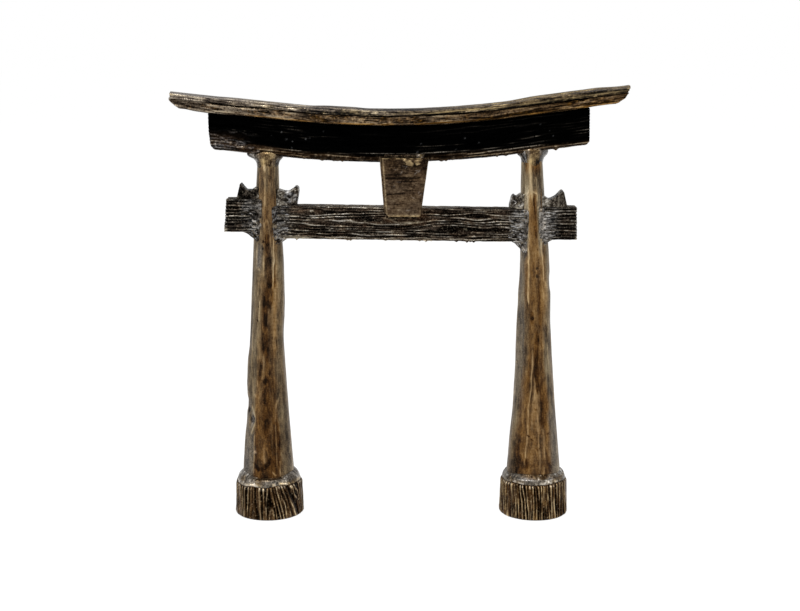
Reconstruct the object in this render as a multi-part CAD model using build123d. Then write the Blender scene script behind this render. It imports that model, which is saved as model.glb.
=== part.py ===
from build123d import *
import os
from math import asin, atan2, cos, degrees, radians, sin, sqrt, tan

# A small torii gate of cast bronze, hand-worked to look like rough timber, that stands on a shelf.
# Two round posts on drum feet carry a curved lintel of three layers: second lintel, lintel board and cap.
# A tie beam in three lengths is welded to the posts below it, with wedges on top and a tablet in front.
# X runs along the lintel to the right, Y from the front to the back, and Z up from the floor. Sizes are in mm.

# Feet: drums, slightly wider at the floor
foot_dia = 24.8
foot_top_dia = 24.0
foot_height = 12.4
foot_rim = 0.8
foot_heel = 0.3

# Posts: round bars that taper evenly above the waist and flare, a little hollow, below it. Each one
# leans inwards, more above its waist than below.
post_spacing = 95.4
post_shift = 0.5
left_lean_below = 0.1
left_lean_above = 1.4
right_lean_below = 0.8
right_lean_above = 1.7
post_head_dia = 7.5
post_waist_dia = 12.3
left_heel_dia = 18.6
right_heel_dia = 19.5
waist_height = 64.0
heel_hollow = 0.2
flare_steps = 4

# Lintel: its underside is an arc in the middle and runs out straight to both ends
underside_height = 126.3
lintel_bend = 350.0
bend_half_length = 41.0
lintel_tilt = 0.7

# Second lintel: a plain beam with rounded lower edges and plumb ends
second_length = 129.8
second_height = 12.6
second_depth = 9.6
second_round = 1.7

# Lintel board and the wider cap on it: both are cut off at a slant, longer at the top and at the back,
# and the board's ends sweep under more than the cap's
lintel_length = 159.4
board_height = 3.4
board_depth = 13.4
board_bevel = 0.7
cap_height = 1.8
cap_crown = 0.4
cap_depth = 15.0
cap_ridge_width = 5.0
left_cap_slant = 10.0
right_cap_slant = 24.0
left_board_slant = 16.0
right_board_slant = 31.0
left_sweep_slant = 45.0
right_sweep_slant = 63.0
left_sweep_rise = 2.0  # the sweep starts this far above the board's underside
right_sweep_rise = 1.0
left_end_yaw = 7.0
right_end_yaw = 4.0

# Tie beam: a middle length between the posts and a short end outside each of them, hung tie_gap below
# the second lintel
tie_gap = 15.5
tie_height = 11.6
tie_depth = 7.6
tie_edge = 0.5
tie_tilt = -0.85
left_end_reach = 14.6
left_end_raise = 2.2
left_end_lean = 1.0
right_end_reach = 15.2
right_end_raise = 0.8
right_end_lean = 0.3

# Wedges stand on the tie beam against the posts. Each one is: how far its toe stands out from the post,
# how far its tip is set back from the toe, and the heights of the tip, of the dip behind it and at the post.
wedge_depth = 5.4
left_outer_wedge = (6.2, 1.3, 4.9, 2.6, 4.3)
left_inner_wedge = (6.6, 0.1, 6.5, 4.7, 4.6)
right_inner_wedge = (3.1, 0.6, 4.7, 4.4, 5.0)
right_outer_wedge = (7.4, 1.7, 5.2, 2.2, 3.2)
wedge_toe_height = 0.8
wedge_dip = 0.55

# Name tablet: a tapered plate that laps over the second lintel above and the tie beam below
tablet_top_width = 16.9
tablet_bottom_width = 12.5
tablet_thickness = 3.6
tablet_lap_above = 1.8
tablet_lap_below = 2.9
tablet_shift = 0.75
tablet_bite = 0.25
tablet_side_bevel = 1.2
tablet_edge_bevel = 0.4

# Welds, smoothed by hand: a flared collar under the lintel, a shoulder on the foot, a bead at each beam end.
# Where a weld runs out it is still weld_skin thick.
weld_skin = 0.12
head_weld_drop = 5.0
head_weld_swell = 0.5
head_weld_lap = 1.7
foot_weld_height = 3.0
foot_weld_swell = 0.15
tie_weld_run = 3.0
tie_weld_drop = 2.6
tie_weld_wrap = 0.4
tablet_weld_leg = 1.5
tablet_weld_share = 0.8

# ---- values that follow from those sizes ----
bend_angle = asin(bend_half_length / lintel_bend)
bend_centre_height = underside_height + lintel_bend
tie_middle_height = underside_height - tie_gap - tie_height / 2
lintel_slope = tan(radians(lintel_tilt))
tie_slope = tan(radians(tie_tilt))
foot_x = {-1: post_shift - post_spacing / 2, 1: post_shift + post_spacing / 2}
lean_below = {-1: left_lean_below, 1: right_lean_below}
lean_above = {-1: left_lean_above, 1: right_lean_above}
heel_dia = {-1: left_heel_dia, 1: right_heel_dia}


def curve_height(x, rise):
    """Height, before the lintel is tilted, of the curve that runs rise above the lintel's underside."""
    radius = lintel_bend - rise
    bend_x = radius * sin(bend_angle)
    if abs(x) <= bend_x:
        return bend_centre_height - sqrt(radius**2 - x**2)
    return bend_centre_height - radius * cos(bend_angle) + (abs(x) - bend_x) * tan(bend_angle)


def lintel_path(rise, half_length):
    """Straight wing, arc and straight wing, rise above the lintel's underside."""
    bend_x = (lintel_bend - rise) * sin(bend_angle)
    left_tip = (-half_length, 0, curve_height(half_length, rise))
    left_bend = (-bend_x, 0, curve_height(bend_x, rise))
    middle = (0, 0, curve_height(0, rise))
    right_bend = (bend_x, 0, curve_height(bend_x, rise))
    right_tip = (half_length, 0, curve_height(half_length, rise))
    return Line(left_tip, left_bend) + ThreePointArc(left_bend, middle, right_bend) + Line(right_bend, right_tip)


def along_lintel(section_points, rise, half_length):
    """Carries a section, given as (depth, height) points, along the lintel's curve."""
    path = lintel_path(rise, half_length)
    start = Plane(origin=path @ 0, x_dir=(0, 1, 0), z_dir=path % 0)
    section = make_face(Polyline(*section_points, close=True))
    return sweep(start * section, path=path)


def tilt_lintel(shape):
    """The whole lintel sits a little higher on the right."""
    return shape.rotate(Axis((0, 0, underside_height), (0, 1, 0)), -lintel_tilt)


def underside_at(x):
    """Height of the tilted lintel's underside at x."""
    return curve_height(x, 0) + x * lintel_slope


def cut_end(board, side, reach, rise, slant, yaw):
    """Cuts an end off at a slant. The cut starts reach from the middle and rise above the lintel's underside."""
    start = (side * reach, cap_depth / 2, curve_height(lintel_length / 2, rise))
    normal = (side * cos(radians(slant)) * cos(radians(yaw)), -sin(radians(yaw)), -sin(radians(slant)))
    return split(board, bisect_by=Plane(origin=start, z_dir=normal), keep=Keep.BOTTOM)


def make_cap():
    """Wider than the board below it, with a shallow slope to the front and to the back."""
    half, ridge, top = cap_depth / 2, cap_ridge_width / 2, cap_height + cap_crown
    section = [(-half, 0), (half, 0), (half, cap_height), (ridge, top), (-ridge, top), (-half, cap_height)]
    crest = second_height + board_height + cap_height
    cap = along_lintel(section, second_height + board_height, lintel_length / 2 + cap_depth)
    cap = cut_end(cap, -1, lintel_length / 2, crest, left_cap_slant, left_end_yaw)
    cap = cut_end(cap, 1, lintel_length / 2, crest, right_cap_slant, right_end_yaw)
    return tilt_lintel(cap)


def make_board():
    """The lintel board, bevelled along both lower edges. Its ends start where the cap's ends leave off, and a
    flatter cut then sweeps them into the underside."""
    half, flat = board_depth / 2, board_depth / 2 - board_bevel
    section = [(-flat, 0), (flat, 0), (half, board_bevel), (half, board_height), (-half, board_height),
               (-half, board_bevel)]
    seam = second_height + board_height
    left_reach = lintel_length / 2 - cap_height * tan(radians(left_cap_slant))
    right_reach = lintel_length / 2 - cap_height * tan(radians(right_cap_slant))
    board = along_lintel(section, second_height, lintel_length / 2 + cap_depth)
    board = cut_end(board, -1, left_reach, seam, left_board_slant, left_end_yaw)
    board = cut_end(board, 1, right_reach, seam, right_board_slant, right_end_yaw)
    left_reach -= (board_height - left_sweep_rise) * tan(radians(left_board_slant))
    right_reach -= (board_height - right_sweep_rise) * tan(radians(right_board_slant))
    board = cut_end(board, -1, left_reach, second_height + left_sweep_rise, left_sweep_slant, left_end_yaw)
    board = cut_end(board, 1, right_reach, second_height + right_sweep_rise, right_sweep_slant, right_end_yaw)
    return tilt_lintel(board)


def make_second_lintel():
    """A beam with plumb ends, rounded all round its underside."""
    half = second_depth / 2
    section = [(-half, 0), (half, 0), (half, second_height), (-half, second_height)]
    beam = along_lintel(section, 0, second_length / 2 + second_depth)
    beam = split(beam, bisect_by=Plane((-second_length / 2, 0, 0), z_dir=(-1, 0, 0)), keep=Keep.BOTTOM)
    beam = split(beam, bisect_by=Plane((second_length / 2, 0, 0), z_dir=(1, 0, 0)), keep=Keep.BOTTOM)
    under_faces = [face for face in beam.faces() if face.normal_at(face.center()).Z < -cos(2 * bend_angle)]
    under_edges = [edge for face in under_faces for edge in face.edges()]
    seams = (bend_half_length + second_length / 2) / 2
    rim = [edge for edge in under_edges if abs(edge.center().Y) > half / 2 or abs(edge.center().X) > seams]
    return tilt_lintel(fillet(rim, second_round))


def post_axis_x(side, height):
    """Where a post's axis is at a height above the floor."""
    if height < waist_height:
        share = (height - foot_height) / (waist_height - foot_height)
        return foot_x[side] - side * lean_below[side] * share
    share = (height - waist_height) / (underside_height - waist_height)
    return foot_x[side] - side * (lean_below[side] + lean_above[side] * share)


def post_radius(side, height):
    """Radius of a post at a height above the floor."""
    if height < waist_height:
        share = (height - foot_height) / (waist_height - foot_height)
        straight = (heel_dia[side] + share * (post_waist_dia - heel_dia[side])) / 2
        return straight - 4 * heel_hollow * share * (1 - share)
    share = (height - waist_height) / (underside_height - waist_height)
    return (post_waist_dia + share * (post_head_dia - post_waist_dia)) / 2


def head_height(side):
    """Height of the lintel's underside over a post."""
    return underside_at(post_axis_x(side, underside_height))


def make_post(side, second_lintel):
    """Stands on its foot and ends under the second lintel, a little way up its rounded edge."""
    flare = [foot_height + (waist_height - foot_height) * step / flare_steps for step in range(flare_steps)]
    heights = [*flare, waist_height, head_height(side) + head_weld_lap]
    circles = [Pos(post_axis_x(side, z), 0, z) * Circle(post_radius(side, z)) for z in heights]
    return loft(circles, ruled=True) - second_lintel


def make_foot(side):
    drum = Cone(foot_dia / 2, foot_top_dia / 2, foot_height, align=(Align.CENTER, Align.CENTER, Align.MIN))
    rims = drum.edges().filter_by(GeomType.CIRCLE).sort_by(Axis.Z)
    drum = fillet(rims[-1], foot_rim)
    heels = drum.edges().filter_by(GeomType.CIRCLE).sort_by(Axis.Z)
    return Pos(foot_x[side], 0, 0) * chamfer(heels[0], foot_heel)


def make_foot_weld(side, post):
    """The sloping shoulder between the foot's rim and the post."""
    rim = foot_top_dia / 2 - foot_rim
    neck = post_radius(side, foot_height + foot_weld_height) + weld_skin
    inside = post_waist_dia / 2
    middle = ((rim + neck) / 2 + foot_weld_swell, 0, foot_weld_height / 2 + foot_weld_swell)
    slope = ThreePointArc((rim, 0, 0), middle, (neck, 0, foot_weld_height))
    outline = Polyline((neck, 0, foot_weld_height), (inside, 0, foot_weld_height), (inside, 0, 0), (rim, 0, 0))
    ring = revolve(make_face(slope + outline), Axis.Z)
    return Pos(foot_x[side], 0, foot_height) * ring - post


def make_head_weld(side, post, second_lintel):
    """A collar that flares up the post to the lintel and laps a little way up its front and back."""
    head = head_height(side)
    neck = post_radius(side, head - head_weld_drop) + weld_skin
    lip = max(post_head_dia, second_depth) / 2 + head_weld_swell
    shoulder = lip - 2 * head_weld_swell
    hollow = (neck + head_weld_swell / 2, 0, -head_weld_drop / 3)
    flare = ThreePointArc((neck, 0, -head_weld_drop), hollow, (lip, 0, 0))
    closing = Polyline((lip, 0, 0), (shoulder, 0, head_weld_lap), (0, 0, head_weld_lap), (0, 0, -head_weld_drop),
                       (neck, 0, -head_weld_drop))
    collar = revolve(make_face(flare + closing), Axis.Z)
    lean = degrees(atan2(lean_above[side], underside_height - waist_height))
    place = Location((post_axis_x(side, head), 0, head), (0, -side * lean, 0))
    collar = place * collar - post - second_lintel
    return Part() + collar.solids().sort_by(SortBy.VOLUME)[-1]


def tie_height_at(x):
    """Height of the tilted middle length's axis at x."""
    return tie_middle_height + x * tie_slope


def end_height(side):
    """Height of the axis of a beam end outside its post."""
    raised = left_end_raise if side < 0 else right_end_raise
    return tie_height_at(foot_x[side]) + raised


def round_long_edges(beam):
    """Takes the sharpness off the edges that run along the beam."""
    long_edges = [edge for edge in beam.edges() if abs((edge % 0.5).X) > 0.9]
    return chamfer(long_edges, tie_edge)


def make_tie_middle(posts):
    """Between the posts, with both ends cut to fit round them."""
    beam = round_long_edges(Box(post_spacing, tie_depth, tie_height))
    beam = Location((post_shift, 0, tie_height_at(post_shift)), (0, -tie_tilt, 0)) * beam
    for post in posts.values():
        beam = beam - post
    return Part() + beam.solids().sort_by(SortBy.VOLUME)[-1]


def make_tie_end(side, posts):
    """The short length outside a post, cut to fit round it, its end face leaning a little."""
    reach, lean = (left_end_reach, left_end_lean) if side < 0 else (right_end_reach, right_end_lean)
    middle = end_height(side)
    axis_x = post_axis_x(side, middle)
    top, bottom = middle + tie_height / 2, middle - tie_height / 2
    tip_low, tip_high = axis_x + side * (reach + lean / 2), axis_x + side * (reach - lean / 2)
    outline = Polyline((axis_x, bottom), (tip_low, bottom), (tip_high, top), (axis_x, top), close=True)
    beam = extrude(Plane.XZ * make_face(outline), amount=tie_depth / 2, both=True)
    beam = round_long_edges(beam) - posts[side]
    return Part() + beam.solids().sort_by(SortBy.VOLUME)[-1]


def make_wedge(side, outward, shape, posts, beam):
    """A wedge on the beam against the post. outward is 1 towards the gate's right and -1 towards its left."""
    reach, set_back, tip_height, dip_height, root_height = shape
    outside = outward == side
    top = (end_height(side) if outside else tie_height_at(post_axis_x(side, tie_middle_height))) + tie_height / 2
    axis_x = post_axis_x(side, top)
    face_x = axis_x + outward * post_radius(side, top)
    toe_x = face_x + outward * reach
    tip_x = toe_x - outward * set_back
    dip_x = face_x + outward * reach * (1 - wedge_dip)
    seat = top - tie_height / 2
    outline = Polyline((axis_x, seat), (toe_x, seat), (toe_x, top + wedge_toe_height), (tip_x, top + tip_height),
                       (dip_x, top + dip_height), (face_x, top + root_height), (axis_x, top + root_height), close=True)
    wedge = extrude(Plane.XZ * make_face(outline), amount=wedge_depth / 2, both=True)
    wedge = wedge - posts[side] - beam
    return Part() + wedge.solids().sort_by(Axis.Z)[-1]


def make_tie_weld(side, outward, posts, beam, wedge):
    """A bead round the sides and underside of a beam's end, thick at the post and running out along the beam."""
    outside = outward == side
    middle = end_height(side) if outside else tie_height_at(post_axis_x(side, tie_middle_height))
    radius = post_radius(side, middle)
    axis_x = post_axis_x(side, middle)
    near_x = axis_x + outward * radius * tie_weld_wrap
    far_x = axis_x + outward * (radius + tie_weld_run)
    near_half = radius * sqrt(1 - tie_weld_wrap**2)
    far_half = tie_depth / 2 + weld_skin
    tilt_near, tilt_far = (0, 0) if outside else ((near_x - axis_x) * tie_slope, (far_x - axis_x) * tie_slope)
    near_top, near_bottom = middle + tie_height / 2 + tilt_near, middle - tie_height / 2 - tie_weld_drop + tilt_near
    far_top, far_bottom = middle + tie_height / 2 + tilt_far, middle - tie_height / 2 - weld_skin + tilt_far
    near = Polyline((near_x, -near_half, near_bottom), (near_x, near_half, near_bottom),
                    (near_x, near_half, near_top), (near_x, -near_half, near_top), close=True)
    far = Polyline((far_x, -far_half, far_bottom), (far_x, far_half, far_bottom),
                   (far_x, far_half, far_top), (far_x, -far_half, far_top), close=True)
    bead = loft([make_face(near), make_face(far)], ruled=True)
    bead = bead - posts[side] - beam - wedge
    return Part() + bead.solids().sort_by(SortBy.VOLUME)[-1]


def tablet_place():
    """Middle of the tablet's back: it rests on the front of both beams and leans between them."""
    centre_x = post_shift + tablet_shift
    top = underside_at(centre_x) + tablet_lap_above
    bottom = tie_height_at(centre_x) + tie_height / 2 - tablet_lap_below
    lean = degrees(atan2((second_depth - tie_depth) / 2, top - bottom))
    back_y = -(second_depth + tie_depth) / 4 + tablet_bite
    return Location((centre_x, back_y, (top + bottom) / 2), (lean, 0, 0)), top - bottom


def make_tablet(second_lintel, beam):
    """A plate wider at the top, bevelled down its left side, seated on both beams."""
    place, height = tablet_place()
    top, bottom = tablet_top_width / 2, tablet_bottom_width / 2
    outline = Polyline((-bottom, -height / 2), (bottom, -height / 2), (top, height / 2), (-top, height / 2), close=True)
    plate = extrude(Plane.XZ * make_face(outline), amount=tablet_thickness)
    front = plate.faces().sort_by(Axis.Y)[0]
    left_edge = front.edges().sort_by(Axis.X)[0]
    other_edges = [edge for edge in front.edges() if edge.center().X > left_edge.center().X + bottom / 2]
    plate = chamfer(other_edges, tablet_edge_bevel)
    front = plate.faces().sort_by(Axis.Y)[0]
    left_edge = front.edges().sort_by(Axis.X)[0]
    plate = chamfer(left_edge, tablet_side_bevel)
    return place * plate - second_lintel - beam


def make_tablet_weld(way, tablet, second_lintel, beam):
    """A bead between the tablet's edge and the beam behind it: way is 1 at the top and -1 at the bottom."""
    place, height = tablet_place()
    width = (tablet_top_width if way > 0 else tablet_bottom_width) * tablet_weld_share
    edge_z = way * (height / 2 - tablet_edge_bevel)
    front_y = -tablet_bite - tablet_weld_leg
    points = [(second_depth / 4, edge_z), (front_y, edge_z), (front_y, edge_z + way * tablet_edge_bevel),
              (-tablet_bite, edge_z + way * tablet_weld_leg), (second_depth / 4, edge_z + way * tablet_weld_leg)]
    section = make_face(Polyline(*points, close=True))
    bead = place * extrude(Plane.YZ * section, amount=width / 2, both=True)
    bead = bead - tablet - second_lintel - beam
    return Part() + bead.solids().sort_by(Axis.Y)[0]


def make_all():
    cap, board, second = make_cap(), make_board(), make_second_lintel()
    posts = {side: make_post(side, second) for side in (-1, 1)}
    middle = make_tie_middle(posts)
    tablet = make_tablet(second, middle)
    nodes = {
        "lintel_cap": cap,
        "lintel_board": board,
        "second_lintel": second,
        "tie_beam_middle": middle,
        "name_tablet": tablet,
        "tablet_upper_weld": make_tablet_weld(1, tablet, second, middle),
        "tablet_lower_weld": make_tablet_weld(-1, tablet, second, middle),
    }
    for side, name, outer_wedge, inner_wedge in (
        (-1, "left", left_outer_wedge, left_inner_wedge),
        (1, "right", right_outer_wedge, right_inner_wedge),
    ):
        end = make_tie_end(side, posts)
        outer = make_wedge(side, side, outer_wedge, posts, end)
        inner = make_wedge(side, -side, inner_wedge, posts, middle)
        nodes[f"{name}_post"] = posts[side]
        nodes[f"{name}_foot"] = make_foot(side)
        nodes[f"{name}_foot_weld"] = make_foot_weld(side, posts[side])
        nodes[f"{name}_head_weld"] = make_head_weld(side, posts[side], second)
        nodes[f"tie_beam_{name}_end"] = end
        nodes[f"{name}_outer_wedge"] = outer
        nodes[f"{name}_inner_wedge"] = inner
        nodes[f"{name}_outer_weld"] = make_tie_weld(side, side, posts, end, outer)
        nodes[f"{name}_inner_weld"] = make_tie_weld(side, -side, posts, middle, inner)
    return nodes


def centre_on_floor(nodes):
    """Moves all the pieces so that the origin is on the floor, under the middle of the whole gate."""
    boxes = [shape.bounding_box() for shape in nodes.values()]
    middle_x = (min(box.min.X for box in boxes) + max(box.max.X for box in boxes)) / 2
    middle_y = (min(box.min.Y for box in boxes) + max(box.max.Y for box in boxes)) / 2
    print("moved by", round(-middle_x, 4), round(-middle_y, 4))
    return {name: Pos(-middle_x, -middle_y, 0) * shape for name, shape in nodes.items()}


os.makedirs("parts", exist_ok=True)
for node_name, node_shape in centre_on_floor(make_all()).items():
    export_step(node_shape, f"parts/{node_name}.step")
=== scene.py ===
import bpy
import numpy as np
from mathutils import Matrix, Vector


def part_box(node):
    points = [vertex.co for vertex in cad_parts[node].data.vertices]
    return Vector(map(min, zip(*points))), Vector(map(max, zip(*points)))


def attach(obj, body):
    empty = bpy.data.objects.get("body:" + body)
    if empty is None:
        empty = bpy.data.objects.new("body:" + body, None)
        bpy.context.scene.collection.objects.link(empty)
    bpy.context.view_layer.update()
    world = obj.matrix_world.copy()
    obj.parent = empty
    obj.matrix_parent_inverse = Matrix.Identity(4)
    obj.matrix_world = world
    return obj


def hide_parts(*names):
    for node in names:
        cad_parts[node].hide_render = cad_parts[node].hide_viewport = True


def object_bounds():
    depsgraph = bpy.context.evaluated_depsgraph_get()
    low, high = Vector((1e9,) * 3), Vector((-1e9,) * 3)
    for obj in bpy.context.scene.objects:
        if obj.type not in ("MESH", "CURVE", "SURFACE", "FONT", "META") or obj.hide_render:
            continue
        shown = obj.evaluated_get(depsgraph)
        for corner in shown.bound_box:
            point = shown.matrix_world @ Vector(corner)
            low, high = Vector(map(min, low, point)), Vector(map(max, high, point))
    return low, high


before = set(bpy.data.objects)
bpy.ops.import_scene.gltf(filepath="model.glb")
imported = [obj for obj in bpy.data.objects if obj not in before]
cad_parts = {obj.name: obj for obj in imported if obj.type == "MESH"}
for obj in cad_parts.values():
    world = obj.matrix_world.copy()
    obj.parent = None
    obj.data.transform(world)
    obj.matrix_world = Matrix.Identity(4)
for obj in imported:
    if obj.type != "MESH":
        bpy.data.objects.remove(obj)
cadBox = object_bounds()
millimetre = 0.001
triangles = []
print("frame loaded:", len(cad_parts), "nodes")


# sRGB hex to linear colour: c / 12.92 below 0.04045, else ((c + 0.055) / 1.055) ^ 2.4
def hexColour(code):
    shade = np.array([int(code[k:k + 2], 16) for k in (1, 3, 5)]) / 255
    linear = np.where(shade <= 0.04045, shade / 12.92, ((shade + 0.055) / 1.055) ** 2.4)
    return (*linear.tolist(), 1.0)


# One node with its settings (attributes, or inputs by name or number), the sockets that feed it, and for a
# ramp its stops and colours
def addNode(tree, kind, settings=None, links=None, ramp=None):
    node = tree.nodes.new("ShaderNode" + kind)
    for key, value in (settings or {}).items():
        if isinstance(key, str) and hasattr(node, key):
            setattr(node, key, value)
        else:
            node.inputs[key].default_value = value
    for key, source in (links or {}).items():
        tree.links.new(source, node.inputs[key])
    if ramp:
        positions, colours = ramp
        stops = node.color_ramp.elements
        while len(stops) < len(positions):
            stops.new(0.5)
        for stop, position, colour in zip(stops, positions, colours.split()):
            stop.position, stop.color = position, hexColour(colour)
    return node


# The emptied node tree of a material or a world
def freshTree(owner):
    owner.use_nodes = True
    owner.node_tree.nodes.clear()
    return owner.node_tree


# Lowest and highest corner of a CAD node, in mm
def nodeBox(name):
    low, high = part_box(name)
    return np.array(low) / millimetre, np.array(high) / millimetre


# 0 below low, 1 above high, 3t^2 - 2t^3 between
def rise(value, low, high):
    share = np.clip((value - low) / (high - low), 0, 1)
    return share * share * (3 - 2 * share)


# Cloud from 0 to 1: a hashed value at each corner of a lattice with cells of that many mm, blended by
# 6t^5 - 15t^4 + 10t^3 along each axis
def cloud(x, y, z, cell, seed):
    scaled = [np.asarray(a, float) / c for a, c in zip(np.broadcast_arrays(x, y, z), cell)]
    base = [np.floor(a).astype(np.int64) for a in scaled]
    ease = [f ** 3 * (f * (f * 6 - 15) + 10) for f in (a - b for a, b in zip(scaled, base))]
    total = np.zeros(scaled[0].shape)
    for corner in np.ndindex(2, 2, 2):
        key = sum((b + c) * p for b, c, p in zip(base, corner, (73856093, 19349663, 83492791))) + seed * 7919
        key = ((key ^ (key >> 11)) * 40503) & 0xffffffff
        key = ((key ^ (key >> 15)) * 73244475) & 0xffffffff
        key = ((key ^ (key >> 13)) * 69621) & 0xffffffff
        share = np.ones(total.shape)
        for c, e in zip(corner, ease):
            share = share * (e if c else 1 - e)
        total += share * ((key >> 9) & 0xffff) / 65535
    return total


# Three clouds, each half as large and half as strong as the one before
def roughCloud(x, y, z, cell, seed):
    layers = [cloud(x, y, z, [c / 2 ** k for c in cell], seed + 17 * k) / 2 ** k for k in range(3)]
    return sum(layers) / 1.75


# The same about zero, from -0.5 to 0.5
def uneven(x, y, z, cell, seed):
    return roughCloud(x, y, z, cell, seed) - 0.5


# Ridges and hollows, 1 at each whole turn: 0.5 + 0.5 cos(2 pi turns)
def ripple(turns):
    return 0.5 + 0.5 * np.cos(2 * np.pi * turns)


# Round-topped hump: exp(-((value - middle) / reach)^2)
def hump(value, middle, reach):
    return np.exp(-((value - middle) / reach) ** 2)


# Flat-topped hump with steep sides: exp(-((value - middle) / reach)^4)
def plateau(value, middle, reach):
    return np.exp(-((value - middle) / reach) ** 4)


# Thin crests where a cloud crosses its middle value: (1 - |2c - 1|) ^ sharpness
def veins(x, y, z, cell, seed, sharpness=2.0):
    return (1 - np.abs(2 * cloud(x, y, z, cell, seed) - 1)) ** sharpness


# Ragged cracks: 1 where a cloud is within `width` of its middle value
def cracks(x, y, z, cell, seed, width=0.12):
    return 1 - rise(np.abs(2 * roughCloud(x, y, z, cell, seed) - 1), width * 0.4, width)


# Round spots: sum of exp(-d^2 / r^2) over places (a, b, r, strength) on two surface coordinates
def spots(a, b, places):
    total = np.zeros(np.broadcast(a, b).shape)
    for placeA, placeB, radius, strength in places:
        total += strength * np.exp(-((a - placeA) ** 2 + (b - placeB) ** 2) / radius ** 2)
    return total


# Way in mm from each point (a, b) to a line through places. Its ends are made to look further off, so that
# they taper.
def wayToLine(a, b, line, taper=0.5):
    nearest = np.full(np.broadcast(a, b).shape, 1e6)
    for k, ((a0, b0), (a1, b1)) in enumerate(zip(line[:-1], line[1:])):
        da, db = a1 - a0, b1 - b0
        share = np.clip(((a - a0) * da + (b - b0) * db) / (da * da + db * db), 0, 1)
        toEnd = np.abs(2 * (k + share) / (len(line) - 1) - 1)
        way = np.hypot(a - a0 - share * da, b - b0 - share * db) + taper * rise(toEnd, 0.7, 1.0)
        nearest = np.minimum(nearest, way)
    return nearest


# A row of casting beads: places at random along a range, on a line, with random radii
def beadRow(seed, count, start, end, line, spread, radius, strength):
    pick = np.random.default_rng(seed)
    return [(start + (end - start) * pick.random(), line + pick.normal(0, spread),
             radius * pick.uniform(0.6, 1.3), strength * pick.uniform(0.5, 1.2)) for _ in range(count)]


# Points spaced evenly along a line through corners; each is then averaged with its neighbours, which rounds
# the corners. A closed outline wraps round. Gives both coordinates, the way along and the whole length.
def roundedLine(corners, count, roundness, closed):
    corners = np.array(list(corners) + ([corners[0]] if closed else []), float)
    run = np.concatenate([[0], np.cumsum(np.hypot(*np.diff(corners, axis=0).T))])
    along = np.linspace(0, run[-1], count, endpoint=not closed)
    line = np.stack([np.interp(along, run, corners[:, k]) for k in (0, 1)])
    window = int(round(roundness / (run[-1] / count)))
    if window > 0 and closed:
        line = sum(np.roll(line, k, 1) for k in range(-window, window + 1)) / (2 * window + 1)
    elif window > 0:
        padded = np.pad(line, ((0, 0), (window, window)), "edge")
        smooth = sum(padded[:, k:k + count] for k in range(2 * window + 1)) / (2 * window + 1)
        line = np.where((along > roundness) & (along < run[-1] - roundness), smooth, line)
    return line[0], line[1], along, run[-1]


# A closed grid becomes a mesh. Rows are rings from one pole to the other; normal = (step along rows) x
# (step round the ring), turned outwards; vertex = point + lift * normal, kept inside the CAD's own box. A
# fan closes each pole. flow is where each point lies in the unbent piece (along the grain, across, up), for
# the fine patterns.
def makeSkin(name, points, lift, marks, flow, slotName, stoodFor):
    normal = np.cross(np.gradient(points, axis=0), np.roll(points, -1, 1) - np.roll(points, 1, 1))
    normal /= np.maximum(np.linalg.norm(normal, axis=2, keepdims=True), 1e-9)
    outwards = np.sum(normal * (points - points.mean((0, 1)))) > 0
    shaped = points + (normal if outwards else -normal) * lift[..., None]
    shaped = np.clip(shaped * millimetre, np.array(cadBox[0]), np.array(cadBox[1]))
    rows, columns = lift.shape
    corners = np.concatenate([shaped.reshape(-1, 3), [shaped[0].mean(0)], [shaped[-1].mean(0)]])
    ring = np.arange(columns)
    after = np.roll(ring, -1)
    start = (np.arange(rows - 1) * columns)[:, None]
    quads = np.stack([start + ring, start + columns + ring, start + columns + after, start + after], -1)
    quads = quads.reshape(-1, 4)
    firstPole, lastPole, lastRow = rows * columns, rows * columns + 1, (rows - 1) * columns
    fans = np.concatenate([np.stack([np.full(columns, firstPole), ring, after], 1),
                           np.stack([lastRow + ring, np.full(columns, lastPole), lastRow + after], 1)])
    if not outwards:
        quads, fans = quads[:, ::-1], fans[:, ::-1]
    sizes = np.concatenate([np.full(len(quads), 4), np.full(len(fans), 3)])
    mesh = bpy.data.meshes.new(name)
    mesh.vertices.add(len(corners))
    mesh.vertices.foreach_set("co", corners.astype(np.float32).ravel())
    mesh.loops.add(int(sizes.sum()))
    mesh.loops.foreach_set("vertex_index", np.concatenate([quads.ravel(), fans.ravel()]).astype(np.int32))
    mesh.polygons.add(len(sizes))
    mesh.polygons.foreach_set("loop_start", (np.cumsum(sizes) - sizes).astype(np.int32))
    mesh.update(calc_edges=True)
    mesh.shade_smooth()
    for key in ("crest", "rub", "silver", "warm"):
        values = np.broadcast_to(marks.get(key, 0.0), lift.shape)
        values = np.append(values.ravel(), [values[0].mean(), values[-1].mean()])
        layer = mesh.attributes.new(key, "FLOAT", "POINT")
        layer.data.foreach_set("value", np.clip(values, 0, 1).astype(np.float32))
    flowing = np.stack([np.broadcast_to(part, lift.shape) for part in flow], -1)
    flowing = np.concatenate([flowing.reshape(-1, 3), [flowing[0].mean(0)], [flowing[-1].mean(0)]])
    layer = mesh.attributes.new("flow", "FLOAT_VECTOR", "POINT")
    layer.data.foreach_set("vector", flowing.astype(np.float32).ravel())
    mesh.materials.append(finishes[slotName])
    piece = bpy.data.objects.new(name, mesh)
    bpy.context.scene.collection.objects.link(piece)
    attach(piece, "root")
    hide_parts(stoodFor)
    triangles.append(2 * len(quads) + len(fans))
    print(name, "-", triangles[-1], "triangles")


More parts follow.
